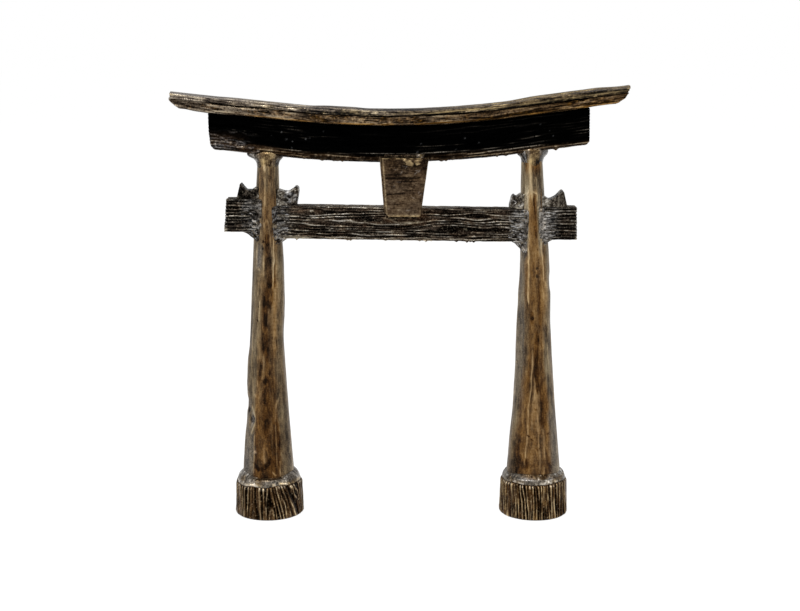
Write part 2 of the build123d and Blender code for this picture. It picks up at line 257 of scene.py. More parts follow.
# Rows of a closed bar: scale of the ring on the end face, turn of the rounded end edge (0 face, pi/2 side)
# and share along the body
def barRows(body, cap=9, corner=5):
    scale = np.concatenate([np.linspace(0.06, 1, cap), np.ones(corner)])
    turn = np.concatenate([np.zeros(cap), np.linspace(0, np.pi / 2, corner + 1)[1:]])
    share = np.linspace(0, 1, body + 2)[1:-1]
    return (np.concatenate([scale, np.ones(body), scale[::-1]]),
            np.concatenate([turn, np.full(body, np.pi / 2), turn[::-1]]),
            np.concatenate([np.zeros(cap + corner), share, np.ones(cap + corner)]))


# A bar of that section between two ends. On a rounded end the ring is drawn in by r(1 - sin a) and set back
# from the end by r(1 - cos a). ends(y, n) gives where the bar starts and stops for each line of the section.
def barSurface(across, up, rows, radius, ends):
    scale, turn, share = (a[:, None] for a in rows)
    drawIn, setBack = radius * (1 - np.sin(turn)), radius * (1 - np.cos(turn))
    middle = (up.max() + up.min()) / 2
    y = across * scale * (1 - drawIn / np.abs(across).max())
    n = middle + (up - middle) * scale * (1 - drawIn / (up.max() - middle))
    first, last = ends(y, n)
    s = (first + setBack) * (1 - share) + (last - setBack) * share
    return s, y, n


# Growth rings on the sawn end of a bar, round a heart that lies off its middle: one ridge each spacing mm
def endRings(y, n, heart, spacing, seed):
    way = np.hypot(y - heart[0], n - heart[1]) + 1.2 * uneven(y, n, 0 * n, (3, 3, 1), seed)
    return ripple(way / spacing)


# Carved grain: crests run along s with one each pitch mm of the way round t. Clouds bend them, and a knot
# (s, t, reach along, reach across, push) spreads them by t - push * (t - knot) * exp(-distance^2). Gives
# the rounded ridge, the thin worn line on its crest and the black groove beside it, the last two with a
# strength that changes from ridge to ridge and along each.
def grain(s, t, x, y, z, look, seed):
    bent = t + np.zeros(s.shape)
    for knotS, knotT, reachS, reachT, push in look.get("knots", []):
        near = np.exp(-((s - knotS) / reachS) ** 2 - ((t - knotT) / reachT) ** 2)
        bent = bent - push * (bent - knotT) * near
    bend = look["bend"] * uneven(x, y, z, look["bendCell"], seed)
    bend += 0.35 * (cloud(x, y, z, [c / 5 for c in look["bendCell"]], seed + 5) - 0.5)
    phase = (bent / look["pitch"] + bend) % round(look["girth"] / look["pitch"])
    wave = ripple(phase)
    ofLine = cloud(3.7 * np.round(phase), s, 0 * s, (1, look["lineRun"], 1), seed + 9)
    ofGroove = cloud(5.3 * np.floor(phase), s, 0 * s, (1, look["lineRun"], 1), seed + 12)
    line = wave ** look["lineSharpness"] * rise(ofLine, 0.15, 0.7)
    groove = (1 - wave) ** look["grooveSharpness"] * (0.25 + 0.75 * rise(ofGroove, 0.2, 0.7))
    return wave, line, groove


# The same settings with the pitch at which a whole number of ridges goes round
def closedGrain(look, girth):
    return dict(look, pitch=girth / round(girth / look["pitch"]), girth=girth)


# Cast bronze, pickled dark, and rubbed back by hand. The eye gets black oxide in the hollows, brown metal
# on the faces and bare tan metal on the crests, with the soft sheen of rubbed metal. Four marks are painted
# per vertex, for tone, bare metal, silvery metal and warmth. Besides the metal's own colours they carry
# painted highlights, glints, reflection and shade. The grain, fibres and casting grit follow the flow
# attribute, in mm.
def patinaBronze(name, look):
    look = {**bronzeLook, **look}
    material = bpy.data.materials.new(name)
    tree = freshTree(material)
    flow = addNode(tree, "Attribute", {"attribute_name": "flow"}).outputs["Vector"]
    along = addNode(tree, "Mapping", {"Scale": (look["stretch"], 1.0, 1.0)}, {"Vector": flow}).outputs[0]
    marks = {key: addNode(tree, "Attribute", {"attribute_name": key}).outputs["Fac"]
             for key in ("crest", "rub", "silver", "warm")}
    # size in mm, strength, and the coordinates each layer follows
    layers = {"blotch": (look["blotchSize"], look["blotch"], along),
              "streak": (look["streakSize"], look["streak"], along),
              "fibre": (look["fibreSize"], look["fibre"], along),
              "grit": (look["gritSize"], look["grit"], flow)}
    shade, raw = marks["crest"], {}
    for key, (size, strength, place) in layers.items():
        raw[key] = addNode(tree, "TexNoise", {"Scale": 1 / size, "Detail": 3.0, "Roughness": 0.6},
                           {"Vector": place}).outputs["Fac"]
        level = addNode(tree, "MapRange",
                        {"From Min": 0.33, "From Max": 0.67, "To Min": -strength / 2, "To Max": strength / 2},
                        {"Value": raw[key]}).outputs[0]
        shade = addNode(tree, "Math", {"operation": "ADD"}, {0: shade, 1: level}).outputs[0]
    # pinholes in the casting, and flecks where grit stood proud and was rubbed bright
    pit = addNode(tree, "MapRange", {"From Min": 0.40, "From Max": 0.33, "To Max": -look["pit"]},
                  {"Value": raw["grit"]}).outputs[0]
    shade = addNode(tree, "Math", {"operation": "ADD", "use_clamp": True}, {0: shade, 1: pit}).outputs[0]
    cool = addNode(tree, "ValToRGB", None, {"Fac": shade}, (look["stops"], look["coolRamp"])).outputs["Color"]
    warm = addNode(tree, "ValToRGB", None, {"Fac": shade}, (look["stops"], look["warmRamp"])).outputs["Color"]
    colour = addNode(tree, "Mix", {"data_type": "RGBA"}, {0: marks["warm"], 6: cool, 7: warm}).outputs[2]
    fleck = addNode(tree, "MapRange", {"From Min": 0.60, "From Max": 0.68, "To Max": look["fleck"]},
                    {"Value": raw["grit"]}).outputs[0]
    # bare metal where crests are worn and grit flecks, and where the bare-metal mark carries a painted
    # highlight
    worn = addNode(tree, "MapRange",
                   {"From Min": 0.30, "From Max": 0.60, "To Min": 0.35, "To Max": 1.0},
                   {"Value": raw["fibre"]}).outputs[0]
    worn = addNode(tree, "Math", {"operation": "MULTIPLY_ADD"},
                   {0: worn, 1: marks["rub"], 2: fleck}).outputs[0]
    # silvery metal broken up by the grit, for the braze's own colour and for painted glints
    silvered = addNode(tree, "MapRange",
                       {"From Min": 0.38, "From Max": 0.60, "To Min": look["speckle"], "To Max": 1.0},
                       {"Value": raw["grit"]}).outputs[0]
    silvered = addNode(tree, "Math", {"operation": "MULTIPLY"},
                       {0: silvered, 1: marks["silver"]}).outputs[0]
    for share, metalColour in ((worn, look["bare"]), (silvered, look["silver"])):
        colour = addNode(tree, "Mix",
                         {"data_type": "RGBA", "clamp_factor": True, 7: hexColour(metalColour)},
                         {0: share, 6: colour}).outputs[2]
    rough = addNode(tree, "MapRange",
                    {"From Min": 0.1, "From Max": 0.9,
                     "To Min": look["roughHollow"], "To Max": look["roughCrest"]},
                    {"Value": shade}).outputs[0]
    relief = addNode(tree, "Math", {"operation": "ADD"}, {0: raw["fibre"], 1: raw["grit"]}).outputs[0]
    bump = addNode(tree, "Bump",
                   {"Strength": look["bump"], "Distance": look["bumpDepth"] * millimetre},
                   {"Height": relief}).outputs[0]
    metal = addNode(tree, "BsdfPrincipled", {"Metallic": look["metal"]},
                    {"Base Color": colour, "Roughness": rough, "Normal": bump}).outputs[0]
    addNode(tree, "OutputMaterial", None, {"Surface": metal})
    return material


# What the finishes share: sizes and depth in mm, and strengths. stretch draws the pattern out along the grain
bronzeLook = dict(
    stretch=0.1, blotchSize=3.0, streakSize=1.1, fibreSize=0.45, gritSize=0.55, bumpDepth=0.12,
    blotch=0.25, streak=0.25, fibre=0.3, grit=0.3, pit=0.35, fleck=0.25, speckle=0.1, bump=0.6,
    bare="#a28a62", silver="#b2b2b3", roughHollow=0.6, roughCrest=0.28, metal=1.0,
    stops=(0.0, 0.25, 0.5, 0.75, 1.0))

# Each ramp runs from the hollows to the crests, once over grey oxide and once over warm metal
finishes = {
    "cap_bronze": patinaBronze("CastBronzeGreyBrownPatina", dict(
        metal=0.92, streak=0.4, fibre=0.4, fleck=0.15, bare="#b09a70",
        coolRamp="#0c0a0b #2f2925 #584f47 #81776c #b8ae9f",
        warmRamp="#0b0602 #2a1f12 #50412a #756342 #a8935f")),
    "board_bronze": patinaBronze("CastBronzeBrownPatina", dict(
        streak=0.4, fibre=0.4, fleck=0.08, bare="#a0712f",
        coolRamp="#080605 #272019 #4f453a #756a5c #a39885",
        warmRamp="#0a0502 #2d1d0c #543d20 #765c36 #9c804e")),
    "black_bronze": patinaBronze("CastBronzeBlackPatina", dict(
        blotch=0.1, streak=0.15, fibre=0.15, grit=0.15, fleck=0.0, bare="#8a7a66",
        stops=(0.0, 0.3, 0.55, 0.8, 1.0),
        coolRamp="#000000 #020202 #100e0c #3f3a33 #958e82",
        warmRamp="#040201 #160e07 #352517 #604d36 #9c8a6c")),
    "beam_bronze": patinaBronze("CastBronzeCarvedBlackAndTan", dict(
        bare="#a09680", blotch=0.2, grit=0.25, speckle=0.35,
        coolRamp="#030202 #15120f #36312b #6b655b #b4b0a8",
        warmRamp="#050201 #1e1209 #422c1b #716046 #b4a688")),
    "post_bronze": patinaBronze("CastBronzeRubbedBrown", dict(
        metal=0.95, stretch=0.2, blotch=0.2, streak=0.2, fibre=0.2, grit=0.18, gritSize=0.36, pit=0.12,
        fleck=0.1, bare="#b09670",
        coolRamp="#1a150f #3f3529 #665843 #84765c #aea186",
        warmRamp="#190d04 #432a11 #6a4b26 #8b6c42 #bd9f70")),
    "foot_bronze": patinaBronze("CastBronzeCarvedBrown", dict(
        bare="#c4b290", blotch=0.2, grit=0.2, pit=0.2,
        coolRamp="#050200 #20160e #453526 #705f4a #beae92",
        warmRamp="#070300 #2a1908 #4e361a #765c36 #bca170")),
    "tablet_bronze": patinaBronze("CastBronzeSmoothBrown", dict(
        metal=0.95, stretch=0.4, grit=0.2, pit=0.2, fleck=0.08, streak=0.22, fibre=0.25, bare="#b09a72",
        coolRamp="#100804 #2b2118 #483b2f #665a4b #9a8d7a",
        warmRamp="#140a03 #36240f #543f27 #735b3b #a88e60")),
    "weld_bronze": patinaBronze("BrazedBronzeSilverGrey", dict(
        stretch=0.4, roughCrest=0.2, streak=0.15, grit=0.3, gritSize=0.5, fibre=0.2, blotch=0.15, speckle=0.2,
        bump=0.4, bare="#c0a676",
        coolRamp="#080706 #24211e #4a4641 #77736d #bcb8b2",
        warmRamp="#0c0603 #302213 #58452d #86704e #c0a678")),
}
print("finishes made:", len(finishes))

# Where the gate stands, read from the frame
sideName = {-1: "left", 1: "right"}
footBox = {side: nodeBox(sideName[side] + "_foot") for side in sideName}
footX = {side: (low[0] + high[0]) / 2 for side, (low, high) in footBox.items()}
footTop = footBox[-1][1][2]
feetMiddle = (footX[-1] + footX[1]) / 2
gateX = feetMiddle - 0.5  # the lintel and tie beam sit half a millimetre left of the feet

# The lintel's three beams lie on one curve. The tilted arc's lowest point is 0.03 under its middle.
lintelCurve = dict(
    underside=nodeBox("second_lintel")[0][2] + 0.03, bend=350.0, bendHalf=41.0, tilt=0.7, halfLength=79.7,
    boardRise=12.6, capRise=16.0, capTop=17.8)
bendAngle = np.arcsin(lintelCurve["bendHalf"] / lintelCurve["bend"])


# s runs along the underside, n stands square to it: an arc of radius bend - n in the middle, straight wings
# beyond, all turned by the tilt about the middle of the underside
def lintelPoint(s, y, n):
    bend = lintelCurve["bend"]
    inner = np.clip(s, -bend * bendAngle, bend * bendAngle)
    beyond = s - inner
    x = (bend - n) * np.sin(inner / bend) + beyond * np.cos(bendAngle)
    z = bend - (bend - n) * np.cos(inner / bend) + np.abs(beyond) * np.sin(bendAngle)
    tilt = np.radians(lintelCurve["tilt"])
    return np.stack([gateX + x * np.cos(tilt) - z * np.sin(tilt), y + 0 * x,
                     lintelCurve["underside"] + z * np.cos(tilt) + x * np.sin(tilt)], -1)


# Where a line of the wing (y, n) meets a slanted end, solved for the way along the wing:
# x = reach + A (sin(yaw)(y - d/2) + sin(slant)(z - z0)), A = 1 / (cos(slant) cos(yaw)), d the cap's depth
def lintelEnd(y, n, reach, fromRise, slant, yaw):
    slant, yaw = np.radians(slant), np.radians(yaw)
    share = 1 / (np.cos(slant) * np.cos(yaw))
    bend, bendHalf = lintelCurve["bend"], lintelCurve["bendHalf"]
    sinB, cosB = np.sin(bendAngle), np.cos(bendAngle)
    wing = bend * (1 - cosB)
    radius = bend - fromRise
    level = bend - radius * cosB + (lintelCurve["halfLength"] - radius * sinB) * np.tan(bendAngle)
    turnedBack = np.sin(yaw) * (y - capLook["depth"] / 2)
    rest = reach - bendHalf + n * sinB + share * (turnedBack + np.sin(slant) * (wing + n * cosB - level))
    return bend * bendAngle + rest / (cosB - share * np.sin(slant) * sinB)


# Burrs: short bright curls of metal on a front, where a cloud and the share given pass a half
def burrs(s, y, n, share, seed, clusterSeed):
    curl = veins(s + n, y, n - 0.25 * s, (1.5, 5, 0.8), seed, 9)
    return curl * rise(cloud(s, y, n, (6, 9, 3), clusterSeed) + share, 0.5, 0.7)


# Planed grain of an upper or lower side: ridges across y, one each pitch mm, bent by a cloud
def sideGrain(s, y, n, pitch, cell, bend, seed):
    return ripple(y / pitch + bend * uneven(s, y, n, cell, seed)) ** 1.3


capLook = dict(
    depth=15.0, ridge=5.0, crown=0.4, leftSlant=5.0, rightSlant=24.0, leftYaw=7.0, rightYaw=4.0,
    columns=144, body=350, corner=0.22, endRound=0.3, carve=0.30, tone=0.43, grainPitch=1.15, ringPitch=0.9,
    # (way along, height over the seam, radius, strength)
    notches=[(-47.2, 0.5, 0.55, 1.0), (-27.0, 0.3, 0.4, 0.8), (14.0, 0.6, 0.4, 0.7)])


# The cap is a bar with a shallow crown, bent along the lintel and cut at a slant. Its face is
# streak = 0.6 veins + 0.4 finer veins along the grain, and the surface is cut in by carve * (1 - crest).
def makeCap():
    look, curve = capLook, lintelCurve
    half, low, top = look["depth"] / 2, curve["capRise"], curve["capTop"]
    ridge, crownTop = look["ridge"] / 2, top + look["crown"]
    section = [(half, top), (half, low), (-half, low), (-half, top), (-ridge, crownTop), (ridge, crownTop)]
    across, up = roundedLine(section, look["columns"], look["corner"], True)[:2]

    def ends(y, n):
        left = lintelEnd(y, n, curve["halfLength"], top, look["leftSlant"], look["leftYaw"])
        right = lintelEnd(y, n, curve["halfLength"], top, look["rightSlant"], look["rightYaw"])
        return -left, right

    rows = barRows(look["body"])
    s, y, n = barSurface(across, up, rows, look["endRound"], ends)
    endFace = 1 - rise(rows[0][:, None] + 0 * s, 0.9, 1.0)
    front = rise(-y, half - 0.8, half - 0.2)
    topSide = rise(n, top - 0.1, top + 0.15)
    toLeft = rise(-s, -5, 55)
    toRight = rise(s, -5, 50)
    # the grain of the face drifts a little across the board, so that lines run out at its edges
    drift = n + 0.012 * s + 0.5 * (cloud(s, 0 * s, 0 * s, (30, 1, 1), 10) - 0.5)
    streak = 0.6 * veins(s, y, drift, (17, 2.2, 0.9), 11) + 0.4 * veins(s, y, drift, (8, 1.4, 0.5), 12)
    topGrain = sideGrain(s, y, n, look["grainPitch"], (26, 7, 9), 2.2, 13)
    crest = streak * (1 - topSide) + topGrain * topSide
    crest = crest + (endRings(y, n, (2.0, low - 2.5), look["ringPitch"], 7) - crest) * endFace
    flake = uneven(s, y, drift, (13.0, 1.6, 0.5), 14)
    split = cracks(s, y, drift, (20, 6, 1.1), 15, 0.10) * front
    # a crevice wanders along the seam over the board, broken here and there; it is cut in, and painted dark
    # as painted shadow
    seamLine = low + 0.35 + 0.5 * uneven(s, 0 * s, 0 * s, (9, 1, 1), 16)
    seam = front * hump(n, seamLine, 0.2 + 0.22 * rise(-s, 56, 66))
    seam = seam * rise(cloud(s, y, n, (9, 9, 9), 17), 0.25, 0.45)
    seam = seam * (1 - 0.6 * rise(s, 64, 72)) * (1 - rise(-s, 74, 78))
    # most burrs lie in two clusters, in the middle and well to the left
    burr = burrs(s, y, n, 0.16 * plateau(s, -6, 13) + 0.2 * plateau(s, -48, 6), 19, 9)
    burr = burr * front * (1 - rise(-s, 54, 62))
    nicks = spots(s, n, beadRow(18, 90, -78, 78, (low + top) / 2, 0.7, 0.3, 1.0))
    nicks = nicks * front * (1 - 0.8 * toLeft)
    notch = spots(s, n - low, look["notches"]) * front
    # worn golden arris just over the crevice, on the right half
    arris = front * hump(n, seamLine + 0.42, 0.16) * rise(s, -8, 12)
    arris = arris * (0.4 + rise(cloud(s, y, n, (8, 9, 9), 8), 0.2, 0.6))
    # the top is planed unevenly: fuller to the right and left of the middle, thinner towards the left tip
    fuller = 0.5 * rise(s, 38, 50) * (1 - rise(s, 70, 79)) + 0.4 * plateau(s, -22, 8)
    fuller = fuller - 0.25 * rise(-s, 58, 68)
    calm = 1 - 0.7 * rise(-s, 60, 68)  # the grain is shallower towards the left tip
    lift = -look["carve"] * (1 - crest) * (0.8 + 1.6 * flake) * calm - 0.32 * seam - 0.28 * split
    lift = lift + 0.14 * nicks + 0.2 * notch + 0.16 * flake + fuller * topSide + 0.08 * burr - 0.05
    tone = look["tone"] + 0.4 * calm * (crest - 0.4) + 0.6 * flake - 0.65 * seam - 0.6 * split
    tone = tone + 0.20 * nicks + 0.35 * notch + 0.5 * burr + 0.2 * arris + 0.2 * toLeft
    # the front is darker towards the right; the top face is painted darker, most in the middle, as painted
    # shade
    tone = tone - 0.15 * toRight * front - (0.08 + 0.14 * plateau(s, -4, 26)) * topSide
    # painted highlight: the upper front corner at each tip is painted as bare metal
    tip = rise(np.abs(s - 0.3), 78.9, 79.6) * rise(n, top - 0.9, top - 0.3)
    tip = tip * rise(-y, half - 2.5, half - 0.5)
    marks = dict(crest=tone, rub=0.6 * tip + 0.3 * nicks + 0.5 * (notch + burr + arris),
                 warm=0.1 + 0.55 * toRight + 0.7 * flake + 0.2 * (1 - toLeft) + 0.5 * arris)
    points = lintelPoint(s, y, n)
    makeSkin("bronzeLintelCap", points, lift, marks, (s, y, drift), "cap_bronze", "lintel_cap")


# Each end of the board has two cuts: an upper one that goes on from the cap's end, and a flatter one, from
# sweepRise above its underside, that sweeps into the underside
boardLook = dict(
    depth=13.4, bevel=0.7, columns=120, body=350, corner=0.2, endRound=0.3, carve=0.34, tone=0.47,
    grainPitch=1.1, softness=3.0)
leftBoardEnd = dict(
    cut=capLook["leftSlant"], slant=16.0, sweep=50.0, sweepRise=1.25, yaw=capLook["leftYaw"], proud=0.8)
rightBoardEnd = dict(
    cut=capLook["rightSlant"], slant=31.0, sweep=58.0, sweepRise=0.7, yaw=capLook["rightYaw"], proud=0.5)


# The two cuts blended into one curve: -log(exp(-k a) + exp(-k b)) / k, worked out about 70 mm, which keeps
# the powers in range
def sweptEnd(y, n, end):
    curve, about, softness = lintelCurve, 70, boardLook["softness"]
    low, top = curve["boardRise"], curve["capRise"]
    reach = curve["halfLength"] + end["proud"] - (curve["capTop"] - top) * np.tan(np.radians(end["cut"]))
    upper = lintelEnd(y, n, reach, top, end["slant"], end["yaw"])
    reach -= (top - low - end["sweepRise"]) * np.tan(np.radians(end["slant"]))
    lower = lintelEnd(y, n, reach, low + end["sweepRise"], end["sweep"], end["yaw"])
    total = np.exp(-softness * (upper - about)) + np.exp(-softness * (lower - about))
    return about - np.log(total) / softness


# The board is a bar bevelled along both lower edges. Its face is cut like the cap's, by carve * (1 - crest),
# and its lower front edge is worn smooth and golden.
def makeBoard():
    look, curve = boardLook, lintelCurve
    half, low, top, bevel = look["depth"] / 2, curve["boardRise"], curve["capRise"], look["bevel"]
    section = [(half, top), (half, low + bevel), (half - bevel, low), (-half + bevel, low),
               (-half, low + bevel), (-half, top)]
    across, up = roundedLine(section, look["columns"], look["corner"], True)[:2]

    def ends(y, n):
        return -sweptEnd(y, n, leftBoardEnd), sweptEnd(y, n, rightBoardEnd)

    s, y, n = barSurface(across, up, barRows(look["body"]), look["endRound"], ends)
    front = rise(-y, half - 0.9, half - 0.3)
    under = 1 - rise(n, low + 0.05, low + 0.3)
    toLeft = rise(-s, 20, 60)
    toRight = rise(s, 10, 60)
    drift = n + 0.010 * s + 0.7 * (cloud(s, 0 * s, 0 * s, (26, 1, 1), 20) - 0.5)
    streak = 0.6 * veins(s, y, drift, (14, 2.0, 0.95), 21, 3)
    streak = streak + 0.4 * veins(s, y, drift, (7, 1.4, 0.55), 22, 3)
    crest = streak * (1 - under) + sideGrain(s, y, n, look["grainPitch"], (24, 7, 9), 2, 23) * under
    flake = uneven(s, y, drift, (8.0, 1.4, 0.55), 24)
    split = cracks(s, y, drift, (18, 6, 1.2), 25, 0.14) * front
    worn = front * (1 - rise(n, low + 0.5, low + 0.9)) * rise(s, -72, -52)
    worn = worn * (0.15 + 0.85 * rise(cloud(s, y, n, (4, 9, 9), 26), 0.25, 0.55))
    central = plateau(s, -6, 16)
    burr = burrs(s, y, n, 0.16 * central + 0.2 * plateau(s, -46, 7), 29, 28) * front
    beads = spots(s, n, beadRow(27, 80, -74, 74, low + 1.5, 0.8, 0.3, 1.0)) * front
    # the underside hangs a little lower towards the left tip and is thinner at both tips
    sag = 0.3 * plateau(s, -65, 7) - 0.2 * plateau(s, -76, 3) - 0.25 * plateau(s, 71, 5)
    lift = -look["carve"] * (1 - crest) * (0.8 + 1.4 * flake) * (1 - 0.8 * worn) - 0.2 * split
    lift = lift + 0.14 * beads + 0.08 * burr + sag * under - 0.04
    tone = look["tone"] + 0.62 * (crest - 0.38) + 0.75 * flake - 0.6 * split + 0.25 * beads + 0.55 * burr
    tone = tone + (0.1 + 0.15 * rise(s, 5, 20)) * worn + 0.17 * toLeft - 0.06 * toRight + 0.1 * central
    tone = tone - 0.25 * plateau(s, -34, 20) * rise(n, low + 1.0, low + 2.0) + 0.14 * rise(-s, 56, 62)
    marks = dict(crest=tone, rub=0.55 * worn * rise(crest, 0.0, 0.5) + 0.3 * beads + 0.35 * burr,
                 warm=0.35 + 0.65 * worn + 0.8 * flake - 0.3 * toLeft + 0.3 * toRight)
    points = lintelPoint(s, y, n)
    makeSkin("bronzeLintelBoard", points, lift, marks, (s, y, drift), "board_bronze", "lintel_board")


# knots of the grain: (way along, way round from the middle of the underside, reach along, reach across, push)
secondLook = dict(
    length=129.8, depth=9.6, round=1.7, columns=136, body=340, corner=0.7, endRound=0.35, carve=0.2,
    tone=0.14, pitch=1.15, bend=1.5, bendCell=(26, 5, 5), lineRun=9, lineSharpness=4, grooveSharpness=2,
    knots=[(-61.0, 10.3, 2.0, 1.4, 1.6), (-55.5, 10.1, 1.8, 1.3, 1.6), (-50.5, 10.6, 1.5, 1.1, 1.5),
           (-30, 14, 7, 2.0, 0.6), (25, 15, 9, 2.2, 0.6)],
    # growth rings round small knots in the left lower corner: (way along, height, size)
    knotRings=[(-61.6, 2.9, 1.5), (-57.6, 2.2, 0.7), (-54.9, 2.2, 1.3), (-50.2, 1.3, 0.8)])


# On the sawn end of a bar the growth rings take the place of the grain's ridge, line and groove
def sawn(wave, line, groove, endFace, ring):
    ringWave, ringLine, ringGroove = ring
    return (wave + (ringWave - wave) * endFace, line + (ringLine - line) * endFace,
            groove + (ringGroove - groove) * endFace)


# The second lintel is a bar with rounded lower corners and plumb ends, cut in by carve * (1 - ridge). It is
# black but for the lines on its crests and its rubbed lower band.
def makeSecondLintel():
    look = secondLook
    half, top = look["depth"] / 2, lintelCurve["boardRise"]
    cut = look["round"] * 0.62
    section = [(half, top), (half, cut), (half - cut, 0), (-half + cut, 0), (-half, cut), (-half, top)]
    across, up, around, girth = roundedLine(section, look["columns"], look["corner"], True)

    # plumb ends whose lower corners are rounded: length shrinks by r - sqrt(r^2 - (r - n)^2) below r. The
    # left end leans out a little at its top.
    def ends(y, n):
        drop = np.clip(look["round"] - n, 0, look["round"] - 0.001)
        reach = look["length"] / 2 - (look["round"] - np.sqrt(look["round"] ** 2 - drop ** 2))
        lean = n * np.sin(bendAngle)
        reach = (reach - lintelCurve["bendHalf"] + lean) / np.cos(bendAngle)
        reach = reach + lintelCurve["bend"] * bendAngle
        return -reach - 0.5 * rise(n, 1, 6), reach + 0.15

    rows = barRows(look["body"])
    s, y, n = barSurface(across, up, rows, look["endRound"], ends)
    endFace = 1 - rise(rows[0][:, None] + 0 * s, 0.86, 0.98)
    underMiddle = girth / 2 - half  # way round to the middle of the underside, from the back upper edge
    knots = [(atS, underMiddle + forth, *reach) for atS, forth, *reach in look["knots"]]
    wave, line, groove = grain(s, around + 0 * s, s, y, n, closedGrain(dict(look, knots=knots), girth), 31)
    ring = endRings(y, n, (1.5, 3.0), 1.1, 40)
    wave, line, groove = sawn(wave, line, groove, endFace, (ring, 0.5 * ring ** 3, 0.4 - 0.4 * ring))
    front = rise(-y, half - 1.2, half - 0.5)
    lump = uneven(s, y, n, (3.0, 1.2, 1.0), 32)
    leftCorner = rise(-s, 50, 60) * rise(8.0 - n, 0, 4) * front
    ragged = 1.4 * (cloud(s, y, n, (12, 5, 5), 33) - 0.5)
    lower = np.maximum(rise(3.0 + 1.2 * rise(-s, 20, 50) - n + ragged, 0, 2.0), leftCorner)
    lowBeads = spots(s, n, beadRow(34, 60, -64, 64, 0.35, 0.25, 0.4, 1.1)) * front
    bigBeads = spots(s, n, beadRow(39, 9, -45, 60, 0.0, 0.1, 0.55, 1.5)) * rise(-y, half - 2.5, half - 1)
    lowBeads = lowBeads + bigBeads
    fine = spots(s, n, beadRow(35, 220, -64, 64, 2.0, 1.0, 0.24, 0.8)) * front
    glints = spots(s, n, beadRow(36, 16, -62, 62, 7.0, 2.6, 0.2, 0.8)) * front
    rings = np.zeros(s.shape)
    for knotS, knotN, size in look["knotRings"]:
        way = np.hypot((s - knotS) / 1.5, n - knotN) + 1.8 * lump
        rings = np.maximum(rings, hump(way, size, 0.18) + 0.8 * hump(way, 0.4 * size, 0.16))
    rings = rings * front * rise(cloud(s, y, n, (1.6, 2, 1.2), 38), 0.35, 0.6)
    lift = -look["carve"] * (1 - wave) * (0.6 + 0.6 * lower) + 0.5 * lowBeads + 0.18 * fine + 0.1 * glints
    lift = lift + 0.2 * lump * lower + 0.15 * rings - 0.03
    faint = (0.6 + 0.4 * rise(-n, -8.5, -4.0)) * rise(cloud(s, y, n, (14, 5, 2.5), 37), 0.12, 0.6)
    tone = look["tone"] + 0.85 * line * faint + 0.10 * lump + 0.45 * rings + 0.35 * glints
    tone = tone + lower * (0.28 + 0.12 * line - 0.2 * groove + 0.5 * lump + 0.3 * fine)
    marks = dict(crest=tone, rub=0.3 * fine * lower + 0.2 * lowBeads, warm=0.8 * lower * rise(s, -85, -50),
                 silver=0.35 * leftCorner * line + 0.3 * glints + 0.25 * rings)
    points = lintelPoint(s, y, n)
    makeSkin("bronzeSecondLintel", points, lift, marks, (s, y, n), "black_bronze", "second_lintel")


makeCap()
makeBoard()
makeSecondLintel()
print("lintel made")


# What the two posts share. Diameters, heights and depths in mm.
postShape = dict(
    waist=64.0, headDia=7.5, waistDia=12.3, hollow=0.2, headHeight=lintelCurve["underside"], headOverlap=1.2,
    rows=280, columns=150, facet=0.40, dent=0.22, file=0.14, valley=0.32, ridge=0.18, tone=0.47)
